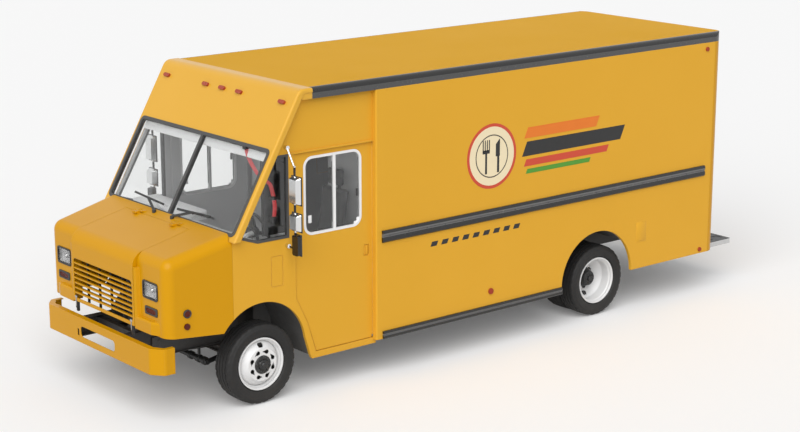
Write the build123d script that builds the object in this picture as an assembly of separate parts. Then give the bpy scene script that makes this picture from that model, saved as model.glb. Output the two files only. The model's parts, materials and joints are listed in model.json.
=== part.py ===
from build123d import *
import os

# Food truck: a walk-in step van with a serving hatch.
# Millimetres, X forward, Y left, Z up. Every x is measured from the front axle, and save() shifts
# the pieces so that the origin lies on the ground at the middle of the overall length.

# Chassis sizes
WHEELBASE = 4805
TYRE_RADIUS = 420
TYRE_HALF_WIDTH = 132
TYRE_SIDES = 40
SHOULDER_RADIUS = 345
RIM_RADIUS = 250
FLANGE_RADIUS = 274
RIM_HALF_WIDTH = 110
TWIN_SPACING = 290
KINGPIN_RADIUS = 22
SPINDLE_RADIUS = 35
REAR_SPINDLE_RADIUS = 45
RAIL_IN = 360
RAIL_OUT = 432
RAIL_LOW = 590
RAIL_HIGH = 785
GEARBOX_REAR = -730
BUMPER_FRONT = 1225
BUMPER_LOW = 535
BUMPER_HIGH = 800
STEP_REAR = -7210

# Body sizes
BODY_HALF = 1225
CAB_INSET = 65
CAP_PROUD = 7
WALL = 40
ROOF_TOP = 3190
ROOF_THICK = 40
ROOF_RAIL_DEPTH = 110
CAP_TOP_RUN = 158
BOX_FRONT = -1410
BOX_REAR = -6780
REAR_CORNER = 165
SKIRT_LOW = 405
TAIL_LOW = 486
RUB_LOW = 1458
CAB_LOW = 358
FLOOR_TOP = 940
FLOOR_THICK = 60
BULKHEAD_X = -1450
ARCH_FRONT = (10, 530, 545)
ARCH_REAR = (-4700, 480, 572)

# Windshield line, seen from the side
GLASS_FOOT = (349.5, 1802.7)
GLASS_SLOPE = -0.5734
GLASS_DROP = 568.2
GLASS_MARGIN = 45
CAP_DEPTH = 78
CAP_FOOT = 1760

# Nose sizes
NOSE_REAR = 345
NOSE_FRONT = 1095
NOSE_TAPER = 50
NOSE_LOW = 700
NOSE_ROUND = 110
LID_FRONT = 1146
LID_HALF = 597
LID_REAR = 480
LID_ROUND = 150
NOSE_SKIN = 10
NOSE_TOP_AT_400 = 1815
NOSE_TOP_FALL = 0.229
LIP_LOW = 920
GRILLE_HALF = 570
GRILLE_LOW = 955
GRILLE_HIGH = 1378

# Door and hatch sizes
DOOR_FRONT = -426
DOOR_REAR = -1404
DOOR_LOW = 430
DOOR_DROP = 662
DOOR_SINK = 10
DOOR_THICK = 38
WINDOW_HEIGHT = 818
WINDOW_HEAD = 44
WINDOW_CORNER = 110
WINDOW_FRAME = 28
WINDOW_PROUD = 3
WINDOW_BAR_X = -925
REAR_POST = 224
REAR_HEADER = 380
HATCH_FRONT = -2450
HATCH_REAR = -4650
HATCH_LOW = 1640
HATCH_DROP = 460
MIRROR_DROP = 572
DRIVER_INSET = 540

# Fits
GAP = 6
PIN_FIT = 0.08
SEAT = 0.3

# Widths and heights that follow from the ones above
CAB_HALF = BODY_HALF - CAB_INSET
CAP_HALF = BODY_HALF + CAP_PROUD
GLASS_HALF = CAP_HALF - GLASS_MARGIN
NOSE_HALF = CAB_HALF - NOSE_TAPER
BUMPER_HALF = NOSE_HALF + 2
DOOR_FACE = CAB_HALF - DOOR_SINK
DOOR_BACK = DOOR_FACE - DOOR_THICK
CAB_INSIDE = CAB_HALF - WALL
REAR_DOOR_HALF = BODY_HALF - REAR_POST
FRONT_RIM_FACE = BODY_HALF - 103
REAR_RIM_FACE = BODY_HALF - 109
FRONT_WHEEL_Y = FRONT_RIM_FACE - RIM_HALF_WIDTH
REAR_WHEEL_Y = REAR_RIM_FACE - RIM_HALF_WIDTH
KINGPIN_Y = FRONT_WHEEL_Y - 152
LINER_INSIDE = FRONT_WHEEL_Y - 456
ROOF_RAIL_LOW = ROOF_TOP - ROOF_RAIL_DEPTH
GLASS_HIGH = ROOF_TOP - GLASS_DROP
GLASS_HEAD = (GLASS_FOOT[0] + GLASS_SLOPE * (GLASS_HIGH - GLASS_FOOT[1]), GLASS_HIGH)
CAP_REAR = GLASS_FOOT[0] + GLASS_SLOPE * (ROOF_TOP - GLASS_FOOT[1]) - CAP_TOP_RUN
DOOR_HIGH = ROOF_TOP - DOOR_DROP
WINDOW_TOP = DOOR_HIGH - WINDOW_HEAD
WINDOW_BOX = (DOOR_REAR + 129, DOOR_FRONT - 107, WINDOW_TOP - WINDOW_HEIGHT, WINDOW_TOP)
REAR_DOOR_HIGH = ROOF_RAIL_LOW - REAR_HEADER
HATCH_HIGH = ROOF_RAIL_LOW - HATCH_DROP
MIRROR_HIGH = ROOF_TOP - MIRROR_DROP
DRIVER_Y = CAB_HALF - DRIVER_INSET
FAR = 2 * BODY_HALF
LENGTH = BUMPER_FRONT - STEP_REAR
FRONT_AXLE_X = LENGTH / 2 - BUMPER_FRONT
REAR_X = -WHEELBASE
AXLE_Z = TYRE_RADIUS


def save(node, *shapes):
    """Write one node, shifted from the front axle to the middle of the length."""
    solids = [solid for shape in shapes for solid in shape.solids()]
    whole = solids[0] if len(solids) == 1 else Compound(solids)
    export_step(Pos(FRONT_AXLE_X, 0, 0) * whole, f"parts/{node}.step")


def block(x0, x1, y0, y1, z0, z1):
    """A box between two corners."""
    centre = Pos((x0 + x1) / 2, (y0 + y1) / 2, (z0 + z1) / 2)
    return centre * Box(abs(x1 - x0), abs(y1 - y0), abs(z1 - z0))


def side_prism(outline, y0, y1):
    """An outline of (x, z) points pulled across from y0 to y1."""
    face = make_face(Polyline(*[(x, y0, z) for x, z in outline], close=True))
    return extrude(face, y1 - y0, dir=(0, 1, 0))


def plan_prism(outline, z0, z1):
    """An outline of (x, y) points pulled up from z0 to z1."""
    face = make_face(Polyline(*[(x, y, z0) for x, y in outline], close=True))
    return extrude(face, z1 - z0, dir=(0, 0, 1))


def cross_prism(outline, x0, x1):
    """An outline of (y, z) points pulled along from x0 to x1."""
    face = make_face(Polyline(*[(x0, y, z) for y, z in outline], close=True))
    return extrude(face, x1 - x0, dir=(1, 0, 0))


def side_panel(box, corner, y0, y1):
    """A rounded rectangle seen from the side, box being (x0, x1, z0, z1), pulled from y0 to y1."""
    x0, x1, z0, z1 = box
    plane = Plane((0, y0, 0), x_dir=(1, 0, 0), z_dir=(0, -1, 0))
    face = plane * Pos((x0 + x1) / 2, (z0 + z1) / 2) * RectangleRounded(x1 - x0, z1 - z0, corner)
    return extrude(face, y1 - y0, dir=(0, 1, 0))


def front_panel(box, corner, x0, x1):
    """A rounded rectangle seen from the front, box being (y0, y1, z0, z1), pulled from x0 to x1."""
    y0, y1, z0, z1 = box
    plane = Plane((x0, 0, 0), x_dir=(0, 1, 0), z_dir=(1, 0, 0))
    face = plane * Pos((y0 + y1) / 2, (z0 + z1) / 2) * RectangleRounded(y1 - y0, z1 - z0, corner)
    return extrude(face, x1 - x0, dir=(1, 0, 0))


def rod(start, end, radius):
    """A round bar between two points."""
    run = Vector(*end) - Vector(*start)
    plane = Plane(origin=start, z_dir=run)
    return extrude(plane * Circle(radius), run.length)


def flat_sided(sections, x, y, z):
    """A many-sided barrel about the Y axis through (x, y, z), from sections of (radius, y)."""
    rings = []
    for radius, across in sections:
        plane = Plane((0, across, 0), x_dir=(0, 0, -1), z_dir=(0, 1, 0))
        ring = Rot(0, 0, 180 / TYRE_SIDES) * RegularPolygon(radius, TYRE_SIDES, major_radius=False)
        rings.append(plane * ring)
    return Pos(x, y, z) * loft(rings, ruled=True)


def turned(outline, x, y, z):
    """An outline of (radius, y) points turned about the Y axis through (x, y, z)."""
    face = make_face(Polyline(*[(radius, across, 0) for radius, across in outline], close=True))
    return Pos(x, y, z) * revolve(face, Axis.Y)


def other_side(shape):
    """The same piece on the right of the vehicle."""
    return mirror(shape, about=Plane.XZ)


def glass_x(z):
    """The x of the windshield's outer plane at a height."""
    return GLASS_FOOT[0] + GLASS_SLOPE * (z - GLASS_FOOT[1])


def nose_top(x):
    """The height of the nose's top plane at an x."""
    return NOSE_TOP_AT_400 - NOSE_TOP_FALL * (x - 400)


def nose_side(x):
    """The half width of the nose at an x."""
    return CAB_HALF - NOSE_TAPER * (x - NOSE_REAR) / (NOSE_FRONT - NOSE_REAR)


def grown_arch(arch, grow, y0, y1):
    """A wheel opening as a solid: a round top, and a slanted rear foot on the front one."""
    x, z, radius = arch
    shape = rod((x, y0, z), (x, y1, z), radius + grow)
    if arch is ARCH_FRONT:
        knee = x - 510 - grow
        heel = x - 622 - grow
        foot = [(x, z), (knee, z + 177), (heel, z - 195), (heel, z - 245), (x, z - 245)]
        shape += side_prism(foot, y0, y1)
    return shape


# Tyres, wheels and what carries them

TREAD_SHAPE = [
    (SHOULDER_RADIUS, -TYRE_HALF_WIDTH),
    (TYRE_RADIUS - 26, -TYRE_HALF_WIDTH + 12),
    (TYRE_RADIUS, -TYRE_HALF_WIDTH + 38),
    (TYRE_RADIUS, TYRE_HALF_WIDTH - 38),
    (TYRE_RADIUS - 26, TYRE_HALF_WIDTH - 12),
    (SHOULDER_RADIUS, TYRE_HALF_WIDTH),
]
BEAD_HALF = RIM_HALF_WIDTH - 16
BARREL_SHAPE = [
    (FLANGE_RADIUS - 12, -RIM_HALF_WIDTH),
    (FLANGE_RADIUS, -RIM_HALF_WIDTH),
    (FLANGE_RADIUS, -RIM_HALF_WIDTH + 12),
    (RIM_RADIUS, -RIM_HALF_WIDTH + 12),
    (RIM_RADIUS, RIM_HALF_WIDTH - 12),
    (FLANGE_RADIUS, RIM_HALF_WIDTH - 12),
    (FLANGE_RADIUS, RIM_HALF_WIDTH),
    (FLANGE_RADIUS - 12, RIM_HALF_WIDTH),
    (RIM_RADIUS - 12, RIM_HALF_WIDTH - 40),
    (RIM_RADIUS - 12, 40 - RIM_HALF_WIDTH),
]


def tyre(x, y):
    """A tyre with flat-sided tread and walls that fall in to the beads."""
    ring = flat_sided(TREAD_SHAPE, x, y, AXLE_Z)
    bore = RIM_RADIUS + SEAT
    ring -= flat_sided([(bore, -TYRE_HALF_WIDTH - 5), (bore, TYRE_HALF_WIDTH + 5)], x, y, AXLE_Z)
    wall = TYRE_HALF_WIDTH
    dish = [(FLANGE_RADIUS + 6, BEAD_HALF), (SHOULDER_RADIUS, wall), (SHOULDER_RADIUS + 5, wall + 5)]
    ring -= flat_sided(dish, x, y, AXLE_Z)
    dish = [(radius, -across) for radius, across in dish[::-1]]
    return ring - flat_sided(dish, x, y, AXLE_Z)


def hand_hole(x, side, y0, y1):
    """A hand hole through a wheel's disc, above or below the hub."""
    middle = AXLE_Z + side * 196
    return side_panel((x - 34, x + 34, middle - 21, middle + 21), 20, y0, y1)


def lug_holes(y0, y1):
    """Eight drop-shaped openings round the hub of a front wheel, each a round hole with a pointed tail."""
    holes = []
    for index in range(8):
        turn = 45 * index + 22
        tail = make_face(Polyline((156, 6), (124, 54), (116, -8), close=True))
        drop = extrude(Pos(136, 0) * Circle(21) + tail, y1 - y0)
        holes.append(Pos(0, y0, AXLE_Z) * Rot(0, turn, 0) * Rot(-90, 0, 0) * drop)
    return holes


def front_wheel():
    """A convex disc wheel with its hub and brake drum."""
    middle = FRONT_WHEEL_Y
    face = RIM_HALF_WIDTH + 22
    seat = RIM_RADIUS - 7
    disc = [(seat, 24), (seat, 38), (222, 70), (172, face), (90, face)]
    disc += [(90, face - 14), (166, face - 14), (212, 60)]
    bore = SPINDLE_RADIUS + PIN_FIT
    hub = [(0, 112), (0, face + 10), (70, face + 10), (95, face - 8), (95, -60), (bore, -60), (bore, 112)]
    drum = [(90, -60), (190, -60), (190, 20), (90, 20)]
    wheel = turned(BARREL_SHAPE, 0, middle, AXLE_Z) + turned(disc, 0, middle, AXLE_Z)
    wheel += turned(drum, 0, middle, AXLE_Z)
    wheel += turned(hub, 0, middle, AXLE_Z)
    wheel -= hand_hole(0, 1, middle + 41, middle + face + 20)
    for hole in lug_holes(middle + face - 40, middle + face + 20):
        wheel -= hole
    return wheel


def rear_wheels():
    """A twin wheel: two dished discs that meet on one hub with a brake drum."""
    outer = REAR_WHEEL_Y
    inner = outer - TWIN_SPACING
    face = TWIN_SPACING / 2
    seat = RIM_RADIUS - 7
    dish = [(seat, -30), (seat, -44), (160, -face), (100, -face), (100, -face + 12), (154, -face + 12)]
    bore = REAR_SPINDLE_RADIUS + PIN_FIT
    hub = [(0, -30), (0, -15), (70, -15), (85, -30), (112, -80), (112, -370), (bore, -370), (bore, -30)]
    drum = [(104, -360), (200, -360), (200, -240), (104, -240)]
    wheel = turned(BARREL_SHAPE, REAR_X, outer, AXLE_Z) + turned(dish, REAR_X, outer, AXLE_Z)
    wheel += turned(BARREL_SHAPE, REAR_X, inner, AXLE_Z)
    wheel += turned([(radius, -across) for radius, across in dish], REAR_X, inner, AXLE_Z)
    wheel += turned(hub, REAR_X, outer, AXLE_Z) + turned(drum, REAR_X, outer, AXLE_Z)
    for side in (-1, 1):
        wheel -= hand_hole(REAR_X, side, inner + 30, outer - 30)
    return wheel


def knuckle():
    """Fork, kingpin and spindle: turns on the axle beam and carries a front wheel."""
    inner = KINGPIN_Y - 45
    outer = KINGPIN_Y + 86
    fork = block(-45, 45, inner, outer, AXLE_Z + 60, AXLE_Z + 105)
    fork += block(-45, 45, inner, outer, AXLE_Z - 105, AXLE_Z - 60)
    fork += block(-60, 60, outer - 30, outer, AXLE_Z - 105, AXLE_Z + 105)
    fork += rod((0, KINGPIN_Y, AXLE_Z - 95), (0, KINGPIN_Y, AXLE_Z + 95), KINGPIN_RADIUS)
    fork += rod((0, outer - 16, AXLE_Z), (0, FRONT_WHEEL_Y + 100, AXLE_Z), SPINDLE_RADIUS)
    fork += block(-220, -40, inner + 8, inner + 48, AXLE_Z - 105, AXLE_Z - 75)
    return fork


def front_axle():
    """A dropped I-beam with an eye at each end for the kingpin."""
    beam = block(-45, 45, -KINGPIN_Y + 20, KINGPIN_Y - 20, AXLE_Z - 50, AXLE_Z + 30)
    for side in (-1, 1):
        x0 = side * 45
        beam -= block(x0, side * 15, -KINGPIN_Y + 90, KINGPIN_Y - 90, AXLE_Z - 36, AXLE_Z + 16)
        beam += rod((0, side * KINGPIN_Y, AXLE_Z - 54), (0, side * KINGPIN_Y, AXLE_Z + 54), 44)
        beam += block(-60, 60, side * RAIL_IN, side * RAIL_OUT, AXLE_Z + 29, AXLE_Z + 40)
    for side in (-1, 1):
        low = (0, side * KINGPIN_Y, 0)
        beam -= rod(low, (0, side * KINGPIN_Y, 900), KINGPIN_RADIUS + PIN_FIT)
    return beam


def rear_axle():
    """A banjo housing with spindles, and the propeller shaft up to the gearbox."""
    tube = REAR_WHEEL_Y - 374
    tip = REAR_WHEEL_Y - 42
    axle = rod((REAR_X, -tube, AXLE_Z), (REAR_X, tube, AXLE_Z), 60)
    axle += rod((REAR_X, -tip, AXLE_Z), (REAR_X, tip, AXLE_Z), REAR_SPINDLE_RADIUS)
    axle += rod((REAR_X - 110, 0, AXLE_Z), (REAR_X + 130, 0, AXLE_Z), 175)
    axle += rod((REAR_X, 0, AXLE_Z), (GEARBOX_REAR - 2, 0, 560), 48)
    for side in (-1, 1):
        axle += block(REAR_X - 60, REAR_X + 60, side * RAIL_IN, side * RAIL_OUT, AXLE_Z, AXLE_Z + 70)
    return axle


def leaf_spring(x, seat, half_length, side):
    """A bowed leaf pack on an axle seat, with an eye bracket up to the frame rail at each end."""
    rise = 50
    thick = 44
    y0 = RAIL_IN + 4
    y1 = RAIL_OUT - 4
    low = seat + SEAT
    start = (x - half_length, y0, low + rise)
    end = (x + half_length, y0, low + rise)
    under = ThreePointArc(start, (x, y0, low), end)
    over = ThreePointArc((end[0], y0, end[2] + thick), (x, y0, low + thick), (start[0], y0, end[2] + thick))
    sides = Line(end, over @ 0) + Line(over @ 1, start)
    pack = extrude(make_face(under + over + sides), y1 - y0, dir=(0, 1, 0))
    for tip in (x - half_length, x + half_length):
        pack += block(tip - 34, tip + 34, y0, y1, low + rise - 4, RAIL_LOW)
    return pack if side > 0 else other_side(pack)


def chassis_frame():
    """Two channel rails and their cross members."""
    rails = None
    front = BUMPER_FRONT - 8
    for side in (-1, 1):
        rail = block(front, BOX_REAR + WALL, side * RAIL_IN, side * RAIL_OUT, RAIL_LOW, RAIL_HIGH)
        y0 = side * (RAIL_IN - 1)
        y1 = side * (RAIL_OUT - 9)
        rail -= block(front + 1, BOX_REAR - 10, y0, y1, RAIL_LOW + 10, RAIL_HIGH - 10)
        rails = rail if rails is None else rails + rail
    for x in (960, -760, -1900, -2900, -4000, -5600, BOX_REAR + 130):
        rails += block(x - 30, x + 30, -RAIL_OUT + 5, RAIL_OUT - 5, RAIL_LOW + 30, RAIL_HIGH - 35)
    return rails


def engine_block():
    """Engine and gearbox as one plain block on side mounts."""
    engine = block(-120, 700, -280, 280, 610, 1200)
    engine += block(GEARBOX_REAR, -119, -190, 190, 515, 880)
    for side in (-1, 1):
        engine += block(250, 350, side * 270, side * RAIL_IN, RAIL_HIGH - 70, RAIL_HIGH)
    return engine


def fuel_tank():
    """A box tank on two straps beside the left rail."""
    tank = fillet(block(-3300, -2300, 450, 900, 435, 760).edges().filter_by(Axis.X), 50)
    for x in (-3100, -2500):
        tank += block(x - 30, x + 30, RAIL_OUT, 470, 620, 740)
    return tank


def exhaust():
    """Pipe, silencer and side outlet, hung from two cross members."""
    z = 520
    pipe = rod((-60, -240, z), (-3700, -240, z), 32) + rod((-2550, -240, z), (-3350, -240, z), 85)
    pipe += rod((-3700, -206, z), (-3700, 50 - BODY_HALF, z), 34)
    for x in (-1900, -2900):
        pipe += block(x - 12, x + 12, -260, -220, z + 20, RAIL_LOW + 30)
    pipe += block(-70, -30, -260, -220, z + 5, 610)
    return pipe


# Nose

def nose_form(front, half_front, half_rear, rear, inset):
    """The nose as a solid with a sloping top, before its edges are rounded."""
    front = front - inset
    drop = inset / 0.975
    plan = [(rear, -half_rear), (front, -half_front), (front, half_front), (rear, half_rear)]
    side = [(rear, NOSE_LOW), (rear, nose_top(rear) - drop)]
    side += [(front, nose_top(front) - drop), (front, NOSE_LOW)]
    return plan_prism(plan, NOSE_LOW, nose_top(0)) & side_prism(side, -FAR, FAR)


def rounded_nose(inset):
    """The fixed part of the nose with every outer edge rounded."""
    rear = NOSE_REAR - (1 if inset else 0)
    form = nose_form(NOSE_FRONT, NOSE_HALF - inset, CAB_HALF - inset, rear, inset)
    outer = [edge for edge in form.edges() if edge.center().Z > NOSE_LOW + 10 and edge.center().X > rear + 5]
    return fillet(outer, NOSE_ROUND - inset)


def lid_form(inset):
    """The hood lid's bend: top and front, with a large round at the nose."""
    half = LID_HALF + inset
    form = nose_form(LID_FRONT, half, half, LID_REAR - inset, inset)
    top = nose_top(LID_FRONT) - inset
    bend = [e for e in form.edges() if e.center().X > LID_FRONT - inset - 3 and e.center().Z > top - 60]
    bend = [e for e in bend if e.length > half]
    return fillet(bend, LID_ROUND - inset)


HEADLAMP_BOX = (LID_HALF + 105, NOSE_HALF - 138, 1240, 1420)
SIGNAL_BOX = (LID_HALF + 148, NOSE_HALF - 160, 1090, 1156)
HINGE_Z = nose_top(LID_REAR - 3) + 15
LID_AXIS = (LID_REAR - 3, HINGE_Z)


def lamp_ledge():
    """The rounded ledge under the left lamps, running out from the lid's flank to the corner."""
    inner = LID_HALF + GAP
    back = NOSE_FRONT - 20
    front = LID_FRONT - 4
    top = LIP_LOW + 110
    plan = [(back, inner), (front, inner), (front - 6, NOSE_HALF - 220), (back, NOSE_HALF - 70)]
    shelf = plan_prism(plan, LIP_LOW - 20, top)
    brow = [e for e in shelf.edges() if e.center().Z > top - 1 and e.center().X > NOSE_FRONT]
    shelf = fillet([e for e in brow if e.center().Y > inner + 5], 24)
    plan = [(back, inner), (front, inner), (front - 8, inner + 26)]
    plan += [(NOSE_FRONT - 1, inner + 42), (back, inner + 60)]
    return shelf + plan_prism(plan, LIP_LOW - 20, nose_top(LID_FRONT) - 120)


def nose_panels():
    """Fenders and cowl in one skin, open where the lid lies."""
    skin = rounded_nose(0) - rounded_nose(NOSE_SKIN)
    ledge = lamp_ledge()
    skin += ledge + other_side(ledge)
    half = LID_HALF + GAP
    skin -= block(LID_REAR - GAP, LID_FRONT + 250, -half, half, NOSE_LOW - 100, nose_top(0))
    rear = NOSE_REAR - 45
    ahead = LID_FRONT + 150
    foot = [(rear, NOSE_LOW - 50), (ahead, NOSE_LOW - 50), (ahead, LIP_LOW - 10)]
    foot += [(NOSE_FRONT - 19, LIP_LOW - 31), (NOSE_REAR + 92, LIP_LOW - 82), (rear, LIP_LOW - 82)]
    skin -= side_prism(foot, -FAR, FAR)
    low = CAP_FOOT - SEAT
    high = nose_top(0)
    behind = [(glass_x(low) + 8.5, low), (glass_x(high) + 8.5, high), (100, high), (100, low)]
    skin -= side_prism(behind, -FAR, FAR)
    for side in (-1, 1):
        skin -= grown_arch(ARCH_FRONT, 0, side * (NOSE_HALF - 210), side * FAR)
        for box, corner in ((HEADLAMP_BOX, 28), (SIGNAL_BOX, 12)):
            cut = front_panel(box, corner, NOSE_FRONT - 195, LID_FRONT + 150)
            skin -= cut if side > 0 else other_side(cut)
    for y in (-350, 350):
        x, z = LID_AXIS
        ear = rod((x, y - 70, z), (x, y - 30.5, z), 9) + rod((x, y + 30.5, z), (x, y + 70, z), 9)
        ear += rod((x, y - 70, z), (x, y + 70, z), 4)
        for y0, y1 in ((y - 70, y - 30.5), (y + 30.5, y + 70)):
            ear += block(x - 60, x, y0, y1, z - 8, z + 4)
        skin += ear
    return skin


def hood_lid():
    """The hinged lid with its grille opening and side returns at the nose."""
    skin = lid_form(0) - lid_form(NOSE_SKIN)
    sides = None
    for side in (-1, 1):
        y0 = side * (LID_HALF - NOSE_SKIN)
        strip = block(LID_FRONT - 106, LID_FRONT + 54, y0, side * LID_HALF, LIP_LOW, nose_top(0))
        sides = strip if sides is None else sides + strip
    skin += lid_form(0) & sides
    skin -= block(NOSE_REAR - 45, LID_FRONT + 150, -LID_HALF - 100, LID_HALF + 100, NOSE_LOW - 100, LIP_LOW)
    opening = (-GRILLE_HALF, GRILLE_HALF, GRILLE_LOW, GRILLE_HIGH)
    skin -= front_panel(opening, 40, LID_FRONT - 246, LID_FRONT + 150)
    for y in (-GRILLE_HALF + 30, GRILLE_HALF - 30):
        skin += block(LID_FRONT - 30, LID_FRONT - 10, y - 14, y + 14, BUMPER_HIGH + 12, LIP_LOW + 10)
    for y in (-350, 350):
        x, z = LID_AXIS
        ear = block(x + 3, x + 60, y - 29.5, y + 29.5, z - 20, z + 3)
        ear += rod((x, y - 29.5, z), (x, y + 29.5, z), 9)
        ear -= rod((x, y - 40, z), (x, y + 40, z), 4 + PIN_FIT)
        skin += ear
    return skin


def grille():
    """Seven level bars across the lid's opening on four uprights."""
    count = 7
    pitch = (GRILLE_HIGH - GRILLE_LOW) / (count + 1)
    bars = None
    for index in range(1, count + 1):
        z = GRILLE_LOW + index * pitch
        bar = block(LID_FRONT - 36, LID_FRONT - 2, -GRILLE_HALF, GRILLE_HALF, z - 7, z + 7)
        bars = bar if bars is None else bars + bar
    for y in (-345, -115, 115, 345):
        bars += block(LID_FRONT - 52, LID_FRONT - 30, y - 9, y + 9, GRILLE_LOW - 20, GRILLE_HIGH + 20)
    return bars


def front_bumper():
    """A pressed channel with swept ends, a wide slot and a narrow one beside it."""
    half = BUMPER_HALF
    bend = half - 122
    sweep = BUMPER_FRONT - 95
    back = BUMPER_FRONT - 215
    outline = [(back, -half), (sweep, -half), (BUMPER_FRONT, -bend)]
    outline += [(BUMPER_FRONT, bend), (sweep, half), (back, half)]
    form = plan_prism(outline, BUMPER_LOW, BUMPER_HIGH)
    bends = [e for e in form.edges().filter_by(Axis.Z) if e.center().X > back + 90]
    form = fillet(bends, 60)
    web = 8
    face = BUMPER_FRONT - web
    inner = [(back - 110, web - half), (sweep - 3, web - half), (face, 3 - bend), (face, bend - 3)]
    inner += [(sweep - 3, half - web), (back - 110, half - web)]
    form -= plan_prism(inner, BUMPER_LOW + web, BUMPER_HIGH - web)
    lip = BUMPER_FRONT - 64
    deep = [(back - 110, 52 - half), (sweep - 30, 52 - half), (lip, 30 - bend), (lip, bend - 30)]
    deep += [(sweep - 30, half - 52), (back - 110, half - 52)]
    form -= plan_prism(deep, BUMPER_LOW - 1, BUMPER_HIGH + 1)
    low = BUMPER_LOW + 65
    form -= front_panel((-335, 335, low, low + 115), 40, lip - 11, BUMPER_FRONT + 75)
    form -= front_panel((-403, -367, low, low + 75), 10, lip - 11, BUMPER_FRONT + 75)
    return form


# Cab

WIND_PLANE = Plane(
    origin=(GLASS_FOOT[0], 0, GLASS_FOOT[1]),
    x_dir=(0, 1, 0),
    z_dir=(1, 0, -GLASS_SLOPE),
)
WIND_HEIGHT = ((GLASS_HEAD[0] - GLASS_FOOT[0]) ** 2 + (GLASS_HEAD[1] - GLASS_FOOT[1]) ** 2) ** 0.5


def wind_panel(inset, corner, depth0, depth1):
    """The windshield's outline in its own plane, pulled between two depths."""
    size = (2 * (GLASS_HALF - inset), WIND_HEIGHT - 2 * inset)
    face = WIND_PLANE.offset(depth0) * Pos(0, WIND_HEIGHT / 2) * RectangleRounded(*size, corner)
    return extrude(face, depth1 - depth0)


def wind_bar(half, depth0, depth1):
    """The windshield's centre bar in the same plane."""
    face = WIND_PLANE.offset(depth0) * Pos(0, WIND_HEIGHT / 2) * Rectangle(2 * half, WIND_HEIGHT - 40)
    return extrude(face, depth1 - depth0)


def front_cap():
    """Windshield surround and sloping cap in one piece."""
    foot = CAP_FOOT
    under = ROOF_TOP - 45
    side = [
        (glass_x(foot), foot),
        (glass_x(ROOF_TOP), ROOF_TOP),
        (CAP_REAR, ROOF_TOP),
        (CAP_REAR, under),
        (glass_x(under) - CAP_DEPTH, under),
        (glass_x(foot) - CAP_DEPTH, foot),
    ]
    cap = side_prism(side, -CAP_HALF, CAP_HALF)
    brow = [e for e in cap.edges().filter_by(Axis.Y) if abs(e.center().X - glass_x(ROOF_TOP)) < 2]
    cap = fillet(brow, 110)
    rim = [e for e in cap.edges() if abs(abs(e.center().Y) - CAP_HALF) < 1 and e.center().Z > foot + 5]
    rim = [e for e in rim if e.center().X > glass_x(e.center().Z) - 40 or e.center().Z > ROOF_TOP - 5]
    cap = fillet(rim, 24)
    for side in (-1, 1):
        y1 = side * (CAP_HALF - 7)
        cap += block(CAP_REAR, CAP_REAR + 124, side * CAB_HALF, y1, ROOF_RAIL_LOW, under + 5)
    return cap - wind_panel(0, 60, -200, 60)


def windshield_frame():
    """Rubber frame with a centre divider."""
    ring = wind_panel(0, 60, -40, 6) - wind_panel(36, 34, -60, 20)
    return ring + wind_bar(19, -40, 6)


def windshield_glass():
    """One pane on each side of the divider."""
    return wind_panel(36, 34, -22, -15) - wind_bar(19, -60, 20)


# The quarter window ends under the mirror's foot, or where the leaning post leaves it QUARTER_TOP wide.
QUARTER_REAR = DOOR_FRONT + 84
QUARTER_POST = 113
QUARTER_TOP = 152
QUARTER_PEAK = GLASS_FOOT[1] + (QUARTER_REAR + QUARTER_TOP + QUARTER_POST - GLASS_FOOT[0]) / GLASS_SLOPE
QUARTER_HIGH = min(MIRROR_HIGH - 72, QUARTER_PEAK)
QUARTER_FRONT = glass_x(QUARTER_HIGH) - QUARTER_POST
QUARTER = [
    (QUARTER_FRONT, QUARTER_HIGH),
    (QUARTER_REAR, QUARTER_HIGH),
    (QUARTER_REAR, 1690),
    (46, 1692),
    (270, 1770),
]


def quarter_outline(inset):
    """The quarter window's outline, pulled in evenly."""
    face = make_face(Polyline(*[(x, CAB_HALF - WALL, z) for x, z in QUARTER], close=True))
    return offset(face, -inset, kind=Kind.INTERSECTION) if inset else face


def quarter_prism(inset, y0, y1):
    """The quarter window as a solid between two depths."""
    face = quarter_outline(inset)
    return Pos(0, y0 - (CAB_HALF - WALL), 0) * extrude(face, y1 - y0, dir=(0, 1, 0))


def door_outline(grow):
    """The cab door seen from the side, its foot cut along the wheel opening."""
    return [
        (DOOR_FRONT + grow, DOOR_HIGH + grow),
        (DOOR_REAR - grow, DOOR_HIGH + grow),
        (DOOR_REAR - grow, DOOR_LOW - grow),
        (ARCH_FRONT[0] - 682 + grow * 1.3, DOOR_LOW - grow),
        (ARCH_FRONT[0] - 570 + grow * 1.2, ARCH_FRONT[1] + 240),
        (DOOR_FRONT + grow, ARCH_FRONT[1] + 510),
    ]


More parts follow.
